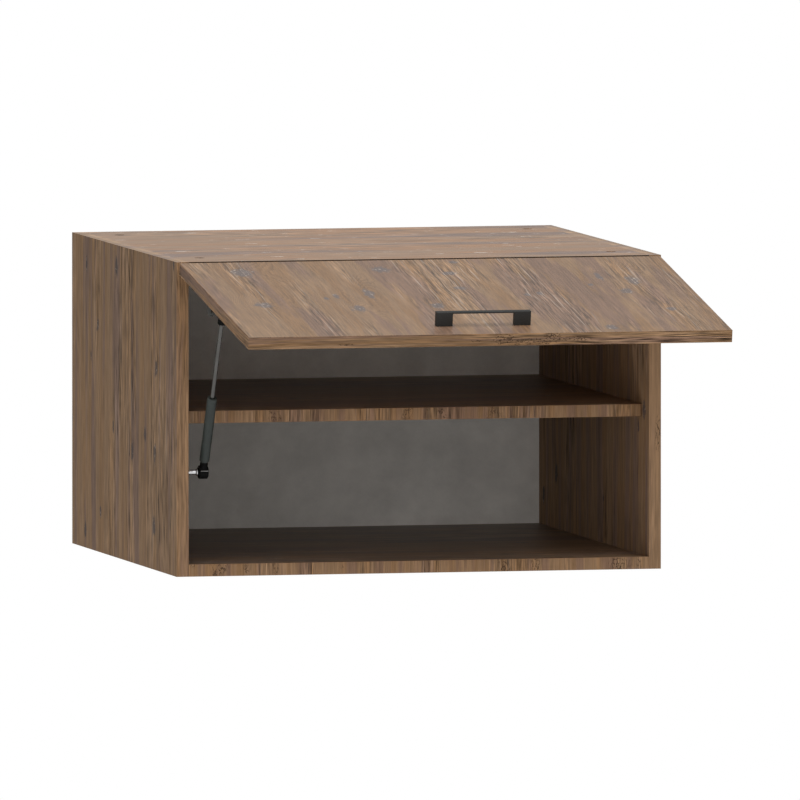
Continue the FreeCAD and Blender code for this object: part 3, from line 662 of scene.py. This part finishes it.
@once
def back_board():
    """Hardboard: a mottled grey face to the room, raw brown fibre to the wall."""
    decor = bpy.context.scene.cabinet_decor
    material, web, sockets, coordinates = new_material("back_board")
    place = coordinates["Object"]
    cloud = web.noise(web.scaled(place, 14, 14, 14), 5, 0.65)
    grit = web.noise(web.scaled(place, 420, 420, 420), 3, 0.6)
    grey = web.shade(rgba(decor.back_grey), web.spread(cloud, 0.87, 1.13))
    grey = web.shade(grey, web.spread(grit, 0.98, 1.02))
    fibre = web.noise(web.scaled(place, 700, 200, 1500), 3, 0.7)
    brown = web.shade(rgba(decor.back_brown), web.spread(fibre, 0.72, 1.25))
    brown = web.shade(brown, web.spread(cloud, 0.9, 1.1))
    faces_room = web.math("LESS_THAN", web.split(coordinates["Normal"])[1], -FACING)
    web.put(sockets["Base Color"], web.mix(faces_room, brown, grey))
    web.put(sockets["Roughness"], web.spread(grit, 0.55, 0.75))
    set_sockets(sockets, Specular_IOR_Level=0.3)
    bump(web, sockets, web.plus(grit, web.times(fibre, 0.5)), 0.15, WOOD_DEPTH)
    return material


@once
def beech():
    """Turned beech of the dowels: pale, with short dark rays."""
    material, web, sockets, coordinates = new_material("beech")
    place = coordinates["Object"]
    fibre = web.noise(web.scaled(place, 40, 900, 900), 3)
    rays = web.step(web.noise(web.scaled(place, 300, 2600, 2600), 1), 0.62, 0.72)
    wood = web.mix(fibre, (0.50, 0.31, 0.16, 1), (0.62, 0.43, 0.25, 1))
    web.put(sockets["Base Color"], web.mix(web.times(rays, 0.5), wood, (0.30, 0.16, 0.08, 1)))
    web.put(sockets["Roughness"], web.spread(fibre, 0.5, 0.7))
    bump(web, sockets, fibre, 0.3, 0.0002)
    return material


# colour, colour where tarnished, roughness, strength of the bump, grain size in metres
METALS = {
    "zinc": ((0.40, 0.405, 0.40), (0.30, 0.30, 0.29), 0.34, 0.12, 0.0007),
    "nickel": ((0.60, 0.585, 0.56), (0.47, 0.455, 0.43), 0.24, 0.1, 0.0008),
    "chrome": ((0.52, 0.525, 0.53), (0.45, 0.45, 0.455), 0.10, 0.04, 0.0009),
    "rod_steel": ((0.108, 0.106, 0.101), (0.098, 0.096, 0.091), 0.26, 0.03, 0.0005),
    "bracket_steel": ((0.075, 0.075, 0.070), (0.058, 0.058, 0.054), 0.5, 0.2, 0.0006),
}


@once
def metal(name):
    """Plated or bare metal with smudges, hairline scratches and a faint skin."""
    base, tarnish, shine, bumpiness, grain_size = METALS[name]
    material, web, sockets, coordinates = new_material(name)
    marks = web.use(handling_marks(), Position=coordinates["Object"], Grain_size=grain_size)
    tone = web.mix(marks["Smudges"], rgba(base), rgba(tarnish))
    lifted = web.mix(0.5, rgba(base), (0.9, 0.9, 0.9, 1))
    web.put(sockets["Base Color"], web.mix(web.times(marks["Scratches"], 0.35), tone, lifted))
    rough = web.blend(marks["Smudges"], 0.12, shine)
    web.put(sockets["Roughness"], web.blend(marks["Scratches"], 0.15, rough))
    set_sockets(sockets, Metallic=1.0)
    bump(web, sockets, web.minus(marks["Skin"], marks["Scratches"]), bumpiness)
    return material


# colour, colour where worn, roughness, gloss, strength of the bump, grain size in metres;
# a name stands for a colour of the settings
COATINGS = {
    "black_metal": ("coat_black", (0.11, 0.11, 0.105), 0.52, 0.5, 0.35, 0.0005),
    "tube_paint": ("tube_grey", (0.13, 0.14, 0.135), 0.40, 0.25, 0.12, 0.0009),
    # the cams' near-black brown is partly painted shade, standing for the shade in the holes they
    # sit sunk in
    "cam_alloy": ((0.014, 0.010, 0.008), (0.04, 0.032, 0.026), 0.80, 0.0, 0.3, 0.0006),
    "black_plastic": ((0.0035, 0.0035, 0.0033), (0.02, 0.02, 0.02), 0.5, 0.06, 0.3, 0.0004),
}


@once
def coated(name):
    """Powder coat, lacquer or moulded plastic, paler where its edges are handled."""
    base, worn, shine, gloss, bumpiness, grain_size = COATINGS[name]
    if isinstance(base, str):
        base = getattr(bpy.context.scene.cabinet_decor, base)
    material, web, sockets, coordinates = new_material(name)
    place = coordinates["Object"]
    marks = web.use(handling_marks(), Position=place, Grain_size=grain_size)
    edge = web.use(edge_wear(), Position=place, Width=0.0007)["Mask"]
    tone = web.shade(rgba(base), web.span(marks["Smudges"], 0, 1, 0.9, 1.15))
    tone = web.shade(tone, web.spread(marks["Skin"], 0.92, 1.08))
    tone = web.mix(web.times(edge, 0.55), tone, rgba(worn))
    web.put(sockets["Base Color"], web.mix(web.times(marks["Scratches"], 0.12), tone, rgba(worn)))
    rough = web.blend(marks["Smudges"], 0.10, shine)
    web.put(sockets["Roughness"], web.blend(edge, -0.08, rough))
    set_sockets(sockets, Specular_IOR_Level=gloss)
    bump(web, sockets, marks["Skin"], bumpiness)
    return material


@once
def clear_rubber():
    """Soft clear domes with a little dust in them."""
    material, web, sockets, coordinates = new_material("clear_rubber")
    marks = web.use(handling_marks(), Position=coordinates["Object"], Grain_size=0.0005)
    dusty = web.mix(marks["Smudges"], (0.80, 0.81, 0.80, 1), (0.62, 0.61, 0.57, 1))
    web.put(sockets["Base Color"], dusty)
    web.put(sockets["Roughness"], web.blend(marks["Smudges"], 0.15, 0.22))
    set_sockets(sockets, Transmission_Weight=0.7, IOR=1.45)
    bump(web, sockets, marks["Skin"], 0.15)
    return material


# palest wood, brown streaks and grey streaks of the boards that have their own; the top board's
# are lighter than the sides', painted light on the face that looks up
BOARD_COLOURS = {
    "side": ((0.207, 0.132, 0.078), (0.200, 0.120, 0.063), (0.152, 0.101, 0.078)),
    "top": ((0.290, 0.176, 0.102), (0.310, 0.160, 0.075), (0.204, 0.130, 0.098)),
    "shelf": ((0.226, 0.148, 0.094), (0.208, 0.130, 0.074), (0.166, 0.112, 0.087)),
}
TOP_FLECK = (0.82, 0.77, 0.71)


def own_colours(board):
    sockets = ("Light_wood", "Warm_wood", "Grey_stain")
    return {socket: rgba(triple) for socket, triple in zip(sockets, BOARD_COLOURS[board])}


def pattern(spread, wander, figure, streaks, grit, **more):
    """Settings of the decor, in a form that can be kept."""
    names = ("Spread", "Wander", "Figure", "Streaks", "Grit")
    return tuple(zip(names, (spread, wander, figure, streaks, grit))) + tuple(more.items())


def side_oak():
    mark = rgba(bpy.context.scene.cabinet_decor.side_mark)
    more = {"Bands": 2.4, "Flecks": 0.4, "Cracks": 0.0, "Knot": mark, **own_colours("side")}
    layers = pattern(0.55, 0.003, 0.3, 0.85, 1.6, **more)
    knots = scattered_knots()
    # painted light: faces that look up 1.38 times lighter, faces within the carcass 1.4 times
    # lighter
    return oak("oak_side", layers, 0.06, 0.68, knots=knots, coat=0.72, light=(1.38, 1.4))


def top_oak():
    more = {"Bands": 2.1, "Flecks": 0.3, "Spots": 1.0, "Cracks": 0.0, "Fleck": rgba(TOP_FLECK)}
    layers = pattern(0.4, 0.003, 0.3, 1.1, 1.45, **more, **own_colours("top"))
    return oak("oak_top", layers, 0.06, 0.5, coat=0.72)


def shelf_oak():
    more = {"Bands": 1.4, "Flecks": 0.9, "Spots": 0.5, "Cracks": 0.0, **own_colours("shelf")}
    layers = pattern(0.5, 0.005, 0.3, 0.9, 1.5, **more)
    return oak("oak_shelf", layers, 0.3, 0.45, knots=scattered_knots())


def door_oak():
    layers = pattern(1.0, 0.003, 1.1, 1.15, 1.3, Cracks=0.0)
    knots = placed_marks("Door knots", DOOR_KNOTS)
    return oak("oak_door", layers, 0.55, 0.38, on_door=True, knots=knots)


BAND_LAYERS = {
    "oak_band_left": pattern(0.9, 0.02, 1.4, 0.7, 1.9, Bands=2.5, Flecks=0.2, Cracks=0.0),
    "oak_band_right": pattern(
        0.9, 0.01, 0.8, 0.6, 0.7, Bands=1.5, Flecks=0.2, Cracks=0.0, Tone=0.95
    ),
    "oak_band_level": pattern(1.0, 0.01, 1.0, 0.8, 1.4, Bands=2.4, Flecks=0.3, Cracks=1.0),
    # painted shadow: Tone 0.2 makes the top band stand for the shade in the gap between the top
    # and the door
    "oak_band_top": pattern(1.0, 0.01, 1.0, 0.9, 2.0, Bands=3.0, Flecks=0.0, Cracks=1.0, Tone=0.2),
}


def carcass_band_oak(name):
    splits = placed_marks("Band splits", BAND_CRACKS, CARCASS_FRONT)
    return oak(name, BAND_LAYERS[name], 0.1, 0.55, splits=splits)


def door_band_oak(name):
    layers = pattern(1.2, 0.012, 1.8, 1.2, 2.4, Bands=3.5, Flecks=0.2, Cracks=0.0, Tone=0.89)
    splits = placed_marks("Door splits", DOOR_CRACKS, DOOR_LOWER_END)
    return oak(name, layers, 0.1, 0.55, on_door=True, splits=splits)


# ---- shaping ----
def block(low, high):
    """A bmesh cuboid between two corners."""
    shape = bmesh.new()
    bmesh.ops.create_cube(shape, size=1.0)
    bmesh.ops.scale(shape, vec=high - low, verts=shape.verts)
    bmesh.ops.translate(shape, vec=(low + high) / 2, verts=shape.verts)
    return shape


def rounded(shape, edges, radius, segments=3):
    how = {"affect": "EDGES", "segments": segments, "profile": 0.5, "material": -1}
    bmesh.ops.bevel(shape, geom=edges, offset=radius, **how)


def turned(profile, facets, axis=Z_AXIS, shape=None):
    """Spins (distance along the axis, radius) points into a closed turned form."""
    shape = shape or bmesh.new()
    side = X_AXIS if axis == Z_AXIS else Z_AXIS
    points = [shape.verts.new(axis * along + side * radius) for along, radius in profile]
    edges = [shape.edges.new(pair) for pair in zip(points, points[1:])]
    how = {"cent": (0, 0, 0), "axis": axis, "angle": math.tau, "steps": facets}
    bmesh.ops.spin(shape, geom=points + edges, use_merge=True, **how)
    return shape


def in_metres(profile):
    return [(along * MM, radius * MM) for along, radius in profile]


def finished(name, shape, place, body, replaced, finishes):
    """Turns a bmesh into an object in its place, which rides on a body and stands for nodes."""
    bmesh.ops.remove_doubles(shape, verts=shape.verts, dist=MERGE)
    bmesh.ops.recalc_face_normals(shape, faces=shape.faces)
    shape.transform(place)
    mesh = bpy.data.meshes.new(name)
    shape.to_mesh(mesh)
    shape.free()
    mesh.shade_smooth()
    mesh.set_sharp_from_angle(angle=SHARP_ANGLE)
    for finish in finishes:
        mesh.materials.append(finish)
    item = bpy.data.objects.new(name, mesh)
    bpy.context.scene.collection.objects.link(item)
    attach(item, body)
    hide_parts(*replaced)


def dress(finish, *nodes):
    """Gives CAD nodes a finish and leaves their shapes alone."""
    for node in nodes:
        mesh = frame["nodes"][node].data
        mesh.materials.clear()
        mesh.materials.append(finish)


# ---- boards ----
class CABINET_OT_boards(Operator):
    """Gives the carcass boards, the shelf, the back and the door their decor"""

    bl_idname = "cabinet.boards"
    bl_label = "Boards"

    def execute(self, context):
        dress(side_oak(), "left_side_panel", "right_side_panel")
        dress(top_oak(), "top_panel")
        dress(shelf_oak(), "bottom_panel", "shelf")
        dress(door_oak(), "door_panel")
        dress(back_board(), "back_panel")
        return {"FINISHED"}


# node, body, place that it is square in, side that it shows there, name of its finish
BANDS = (
    ("left_side_edge_band", "carcass", REST, -Y_AXIS, "oak_band_left"),
    ("right_side_edge_band", "carcass", REST, -Y_AXIS, "oak_band_right"),
    ("top_edge_band", "carcass", REST, -Y_AXIS, "oak_band_top"),
    ("bottom_edge_band", "carcass", REST, -Y_AXIS, "oak_band_level"),
    ("shelf_edge_band", "carcass", REST, -Y_AXIS, "oak_band_level"),
    ("door_top_edge_band", "door", OPENED, Z_AXIS, "oak_band_door"),
    ("door_free_edge_band", "door", OPENED, -Z_AXIS, "oak_band_door"),
    ("door_left_edge_band", "door", OPENED, -X_AXIS, "oak_band_door"),
    ("door_right_edge_band", "door", OPENED, X_AXIS, "oak_band_door"),
)
# the top band's dark colour is painted shadow, the shade in the gap between the top and the door
SQUARE_BAND = "top_edge_band"  # the line between top and door lies on its edge


class CABINET_OT_edge_bands(Operator):
    """Makes the nine edge bands, all but the top band with scraped, rounded edges"""

    bl_idname = "cabinet.edge_bands"
    bl_label = "Edge bands"

    def execute(self, context):
        radius = context.scene.cabinet_sizes.band_round
        for node, body, place, outward, finish_name in BANDS:
            make = door_band_oak if body == "door" else carcass_band_oak
            shape = block(*local_box(node, place))
            if node != SQUARE_BAND:
                face = max(shape.faces, key=lambda item: item.normal.dot(outward))
                rounded(shape, list(face.edges), radius)
            finished(node + "_rounded", shape, place, body, [node], [make(finish_name)])
        return {"FINISHED"}


# ---- handle ----
class CABINET_OT_handle(Operator):
    """Makes the flat handle with its two wide feet"""

    bl_idname = "cabinet.handle"
    bl_label = "Handle"

    def execute(self, context):
        sizes = context.scene.cabinet_sizes
        low, high = local_box("handle", OPENED)
        shape = block(low, Vector((high.x, low.y + sizes.handle_bar, high.z)))
        for x in (low.x + sizes.handle_foot, high.x - sizes.handle_foot):
            everything = list(shape.verts) + list(shape.edges) + list(shape.faces)
            bmesh.ops.bisect_plane(shape, geom=everything, plane_co=(x, 0, 0), plane_no=X_AXIS)
        inner_end = abs(high.x) - sizes.handle_foot
        feet = [
            face
            for face in shape.faces
            if face.normal.y > FACING and abs(face.calc_center_median().x) > inner_end
        ]
        grown = bmesh.ops.extrude_discrete_faces(shape, faces=feet)["faces"]
        corners = list({vertex for face in grown for vertex in face.verts})
        foot_depth = high.y - low.y - sizes.handle_bar
        bmesh.ops.translate(shape, vec=(0, foot_depth, 0), verts=corners)
        bmesh.ops.remove_doubles(shape, verts=shape.verts, dist=MERGE)
        square = [
            edge
            for edge in shape.edges
            if edge.is_manifold and edge.calc_face_angle() > SQUARE_ANGLE
        ]
        rounded(shape, square, sizes.handle_round, 4)
        finish = coated("black_metal")
        finished("handle_bar", shape, OPENED, "door", ["handle"], [finish])
        return {"FINISHED"}


# ---- gas strut ----
# profiles in millimetres, as (distance along the axis, radius) or as each comment says
SOCKET_CHEEK = 0.35  # the moulded sides stand this far out of the plain socket's
SOCKET_HOLE = ((-2.6, 0), (-2.6, 3.15))
SOCKET_LIP = ((0.3, 3.15), (0.0, 3.5))  # (in from the side, radius)
SOCKET_RIM = ((0.0, 1.4), (0.35, 0.6), (0.9, 0.0))  # (in from the side, in from the radius)
SOCKET_DIMPLE = ((0.0, 3.0), (0.5, 2.6), (0.5, 0))  # (in from the far side, radius)
NECK_FOOT = ((0, 0), (0, 5.2), (7.0, 5.3), (8.6, 4.9), (9.2, 4.5))
NECK_COLLAR = ((1.1, 4.5), (0.7, 4.9), (0.0, 4.6), (0.0, 0))  # (back from the tip, radius)
RIB_COUNT, RIB_SIZE, RIB_OUT, RIB_ALONG = 10, (0.9, 0.7, 5.6), 4.5, 11.8
CLIP_SUNK, CLIP_PROUD = 0.3, 0.6  # parts of the wire's radius, at the flanks and at the side
CLIP_TAIL, CLIP_BEND, CLIP_RETURN = 1.0 * MM, 1.6 * MM, 2.0 * MM
WIRE_SIDES, BEND_STEPS = 16, 8
TUBE_FOOT = ((0.0, 1.6), (0.4, 0.6), (1.2, 0.1), (2.0, 0.0))  # (up, in from the radius)
TUBE_GROOVE = ((9.0, 0), (8.4, 0.6), (7.8, 1), (7.2, 0.6), (6.6, 0))  # (back, part of its depth)
TUBE_LIP = ((0.9, 0.0), (0.3, 0.25), (0.0, 0.8))  # (back, in from the radius)
TUBE_THROAT = ((0.0, 0.7), (0.3, 0.3), (0.8, 0.1), (3.0, 0.1))  # (back, gap round the rod)
STUD_FOOT = ((0, 0), (0, 2.9))
STUD_COLLAR = (  # (back from the end, radius)
    (3.9, 2.9), (3.5, 3.1), (3.1, 3.8), (2.3, 4.2), (1.4, 4.15), (0.5, 3.7), (0, 3.0), (0, 0)
)


def ball_socket(facets, up):
    """A moulded socket round the ball at the origin, its neck towards up (1 or -1)."""
    high = local_box("tube_socket", STRUT)[1]
    half, radius, tip = high.x / MM + SOCKET_CHEEK, high.y / MM, high.z / MM
    body = [*SOCKET_HOLE] + [(inset - half, size) for inset, size in SOCKET_LIP]
    body += [(inset - half, radius - drop) for inset, drop in SOCKET_RIM]
    body += [(half - inset, radius - drop) for inset, drop in reversed(SOCKET_RIM)]
    body += [(half - inset, size) for inset, size in SOCKET_DIMPLE]
    shape = turned(in_metres(body), facets, X_AXIS)
    neck = [*NECK_FOOT] + [(tip - back, size) for back, size in NECK_COLLAR]
    turned([(up * along, size) for along, size in in_metres(neck)], facets, Z_AXIS, shape)
    for step in range(RIB_COUNT):
        rib = bmesh.ops.create_cube(shape, size=1.0)["verts"]
        bmesh.ops.scale(shape, vec=[size * MM for size in RIB_SIZE], verts=rib)
        bmesh.ops.translate(shape, vec=(0, RIB_OUT * MM, up * RIB_ALONG * MM), verts=rib)
        turn = Matrix.Rotation(math.tau * (step + 0.5) / RIB_COUNT, 3, "Z")
        bmesh.ops.rotate(shape, cent=(0, 0, 0), matrix=turn, verts=rib)
    return shape


def safety_clip(sizes, up):
    """A spring wire round three sides of a socket, above its ball."""
    shape = bmesh.new()
    wire, height, bend = sizes.clip_wire, up * sizes.clip_height, CLIP_BEND
    high = local_box("tube_socket", STRUT)[1]
    out = math.sqrt(high.y**2 - height**2) + wire * CLIP_SUNK
    end, reach = CLIP_TAIL - high.x, high.x + wire * CLIP_PROUD
    start = Matrix.Translation((end, -out, height)) @ Matrix.Rotation(math.pi / 2, 4, "Y")
    how = {"segments": WIRE_SIDES, "radius": wire, "matrix": start}
    ring = bmesh.ops.create_circle(shape, cap_ends=True, **how)["verts"]
    edges = list({edge for vertex in ring for edge in vertex.link_edges})

    def run(vector):
        nonlocal edges
        grown = bmesh.ops.extrude_edge_only(shape, edges=edges)["geom"]
        edges = [item for item in grown if isinstance(item, bmesh.types.BMEdge)]
        points = [item for item in grown if isinstance(item, bmesh.types.BMVert)]
        bmesh.ops.translate(shape, vec=vector, verts=points)

    def turn(centre):
        nonlocal edges
        how = {"cent": centre, "axis": Z_AXIS, "angle": math.pi / 2, "steps": BEND_STEPS}
        last = bmesh.ops.spin(shape, geom=edges, **how)["geom_last"]
        edges = [item for item in last if isinstance(item, bmesh.types.BMEdge)]

    run((reach - end - bend, 0, 0))
    turn((reach - bend, -out + bend, height))
    run((0, 2 * (out - bend), 0))
    turn((reach - bend, out - bend, height))
    run((bend - reach - CLIP_RETURN, 0, 0))
    bmesh.ops.holes_fill(shape, edges=edges)
    return shape


def joined_shapes(first, second):
    """Adds the second bmesh to the first, its faces marked for the second finish."""
    spare = bpy.data.meshes.new("spare")
    for face in second.faces:
        face.material_index = 1
    second.to_mesh(spare)
    second.free()
    first.from_mesh(spare)
    bpy.data.meshes.remove(spare)
    return first


def strut_cylinder(sizes):
    """The strut's tube, with a closed foot, a rolled groove and a mouth round the rod."""
    high = local_box("strut_tube", STRUT)[1]
    foot = local_box("tube_socket", STRUT)[1].z
    rod = local_box("strut_rod", STRUT)[1].x
    mouth, radius, groove = high.z, high.x, sizes.tube_groove
    profile = [(foot, 0)] + [(foot + up * MM, radius - drop * MM) for up, drop in TUBE_FOOT]
    profile += [(mouth - back * MM, radius - groove * part) for back, part in TUBE_GROOVE]
    profile += [(mouth - back * MM, radius - drop * MM) for back, drop in TUBE_LIP]
    profile += [(mouth - back * MM, rod + gap * MM) for back, gap in TUBE_THROAT]
    return turned(profile + [(profile[-1][0], 0)], sizes.facets)


class CABINET_OT_strut(Operator):
    """Makes the strut's cylinder, its two ball sockets and the lower stud"""

    bl_idname = "cabinet.strut"
    bl_label = "Gas strut"

    def execute(self, context):
        sizes = context.scene.cabinet_sizes
        tube, tube_body, rod_body = strut_cylinder(sizes), "strut_tube_body", "strut_rod_body"
        paint, plastic, zinc = coated("tube_paint"), coated("black_plastic"), metal("zinc")
        finished("strut_cylinder", tube, STRUT, tube_body, ["strut_tube"], [paint])

        high_end = STRUT.copy()
        high_end.translation = HIGH_BALL
        for name, up, place, body, node in (
            ("lower_socket", 1, STRUT, tube_body, "tube_socket"),
            ("upper_socket", -1, high_end, rod_body, "rod_socket"),
        ):
            shape = joined_shapes(ball_socket(sizes.facets, up), safety_clip(sizes, up))
            finished(name, shape, place, body, [node], [plastic, zinc])

        low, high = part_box("side_ball_stud")
        end = (high.x - low.x) / MM
        profile = [*STUD_FOOT] + [(end - back, size) for back, size in STUD_COLLAR]
        stud = turned(in_metres(profile), sizes.facets, X_AXIS)
        place = Matrix.Translation((low.x, LOW_BALL.y, LOW_BALL.z))
        chrome = metal("chrome")
        finished("side_stud", stud, place, "carcass", ["side_ball_stud"], [chrome])

        dress(metal("rod_steel"), "strut_rod")
        dress(zinc, "strut_piston", "strut_stud_plate", "stud_plate_screws", "door_bracket_screws")
        dress(metal("bracket_steel"), "strut_door_bracket", "door_ball_stud")
        dress(chrome, "lower_ball")
        dress(plastic, "rod_guide")
        return {"FINISHED"}


# ---- hinges and fittings ----
class CABINET_OT_hinges(Operator):
    """Gives the two cup hinges their nickel plating"""

    bl_idname = "cabinet.hinges"
    bl_label = "Hinges"

    def execute(self, context):
        dress(metal("nickel"), "hinge_mounting_plates", "hinge_arms", "hinge_cups", "hinge_pins")
        dress(metal("zinc"), "hinge_plate_screws", "hinge_arm_screws", "hinge_cup_screws")
        return {"FINISHED"}


class CABINET_OT_fittings(Operator):
    """Gives the cams, bolts, dowels, pins, nails, hangers and bumpers their finishes"""

    bl_idname = "cabinet.fittings"
    bl_label = "Fittings"

    def execute(self, context):
        dress(coated("cam_alloy"), "top_cam_locks", "bottom_cam_locks")
        dress(metal("zinc"), "cam_bolts", "shelf_pins", "back_panel_nails", "handle_screws")
        dress(metal("zinc"), "hanger_brackets", "hanger_screws")
        dress(beech(), "wood_dowels")
        dress(clear_rubber(), "door_bumpers")
        return {"FINISHED"}


# ---- stage ----
VIEW_CENTRE = Vector((-0.000457, -0.478, 0.202314))  # lies in the middle of the picture
FLOOR_MIDDLE = -0.4  # the floor's middle, from the wall, in metres
SURROUND_LIGHT = (1.0, 0.995, 0.985, 1)
SENSOR_WIDTH = 36.0  # of the camera, in millimetres
NEAR_CLIP, FAR_CLIP = 1.0, 40.0  # metres from the camera, and metres behind the cabinet
# name, setting of its strength, spread in degrees, direction that it comes from
LIGHTS = (
    ("light_above", "top_light", 70.0, (0.0, -0.3, 1.0)),
    ("light_front", "front_light", 64.0, (-0.33, -1.0, 0.06)),
)


def pale_floor():
    material, web, sockets, coordinates = new_material("pale_floor")
    cloud = web.noise(web.scaled(coordinates["Object"], 1.2, 1.2, 1.2), 3)
    web.put(sockets["Base Color"], web.mix(cloud, (0.86, 0.86, 0.86, 1), (0.90, 0.90, 0.90, 1)))
    web.put(sockets["Roughness"], web.spread(cloud, 0.75, 0.9))
    set_sockets(sockets, Specular_IOR_Level=0.1)
    return material


def soft_sun(name, energy, spread, source):
    """An even light from a direction, with very soft shadows."""
    light = bpy.data.lights.new(name, "SUN")
    light.energy = energy
    light.angle = math.radians(spread)
    lamp = bpy.data.objects.new(name, light)
    lamp.rotation_mode = "QUATERNION"
    lamp.rotation_quaternion = (-Vector(source)).to_track_quat("-Z", "Y")
    bpy.context.scene.collection.objects.link(lamp)


def white_surround(ambient):
    """A world that the camera sees as white and that lights the cabinet evenly."""
    world = bpy.data.worlds.new("white_surround")
    world.use_nodes = True
    world.node_tree.nodes.clear()
    web = Web(world.node_tree)
    seen = web.add("Background", ((1, 1, 1, 1), 1.0)).outputs[0]
    lit = web.add("Background", (SURROUND_LIGHT, ambient)).outputs[0]
    straight = web.add("LightPath").outputs["Is Camera Ray"]
    either = web.add("MixShader", (straight, lit, seen)).outputs[0]
    web.put(web.add("OutputWorld").inputs["Surface"], either)
    return world


class CABINET_OT_stage(Operator):
    """Makes the floor, the soft light, the white surround and the camera"""

    bl_idname = "cabinet.stage"
    bl_label = "Stage"

    def execute(self, context):
        scene, stage = context.scene, context.scene.cabinet_stage
        shape = bmesh.new()
        bmesh.ops.create_circle(shape, cap_ends=True, segments=128, radius=stage.floor_radius)
        mesh = bpy.data.meshes.new("floor")
        shape.transform(Matrix.Translation((0, FLOOR_MIDDLE, stage.floor_height)))
        shape.to_mesh(mesh)
        shape.free()
        mesh.materials.append(pale_floor())
        floor = bpy.data.objects.new("floor", mesh)
        scene.collection.objects.link(floor)

        for name, setting, spread, source in LIGHTS:
            soft_sun(name, getattr(stage, setting), spread, source)
        scene.world = white_surround(stage.ambient)
        scene.view_settings.view_transform = "Standard"

        lens = bpy.data.cameras.new("camera")
        camera = bpy.data.objects.new("camera", lens)
        scene.collection.objects.link(camera)
        turn, tilt = stage.azimuth, stage.elevation
        level = math.cos(tilt)
        back = Vector((math.sin(turn) * level, -math.cos(turn) * level, math.sin(tilt)))
        camera.location = VIEW_CENTRE + back * stage.distance
        camera.rotation_mode = "QUATERNION"
        camera.rotation_quaternion = (-back).to_track_quat("-Z", "Y")
        lens.sensor_width = SENSOR_WIDTH
        lens.lens = SENSOR_WIDTH * stage.distance / stage.picture_width
        lens.clip_start, lens.clip_end = NEAR_CLIP, stage.distance + FAR_CLIP
        scene.camera = camera
        return {"FINISHED"}


STEPS = (
    CABINET_OT_boards,
    CABINET_OT_edge_bands,
    CABINET_OT_handle,
    CABINET_OT_strut,
    CABINET_OT_hinges,
    CABINET_OT_fittings,
    CABINET_OT_stage,
)
GROUPS = (
    ("cabinet_decor", CabinetDecor),
    ("cabinet_sizes", CabinetSizes),
    ("cabinet_stage", CabinetStage),
)


class CABINET_PT_sidebar(Panel):
    """Lists the steps that dress the cabinet"""

    bl_label = "Lift-up wall cabinet"
    bl_idname = "CABINET_PT_sidebar"
    bl_space_type = "VIEW_3D"
    bl_region_type = "UI"
    bl_category = "Cabinet"

    def draw(self, context):
        for step in STEPS:
            self.layout.operator(step.bl_idname)
        for name, group in GROUPS:
            box = self.layout.box()
            for setting in group.__annotations__:
                box.prop(getattr(context.scene, name), setting)


def register():
    for name, group in GROUPS:
        bpy.utils.register_class(group)
        setattr(bpy.types.Scene, name, PointerProperty(type=group))
    for item in (*STEPS, CABINET_PT_sidebar):
        bpy.utils.register_class(item)


def unregister():
    for item in reversed((*STEPS, CABINET_PT_sidebar)):
        bpy.utils.unregister_class(item)
    for name, group in reversed(GROUPS):
        delattr(bpy.types.Scene, name)
        bpy.utils.unregister_class(group)


def main():
    register()
    for step in STEPS:
        module, name = step.bl_idname.split(".")
        getattr(getattr(bpy.ops, module), name)()


if __name__ == "__main__":
    main()
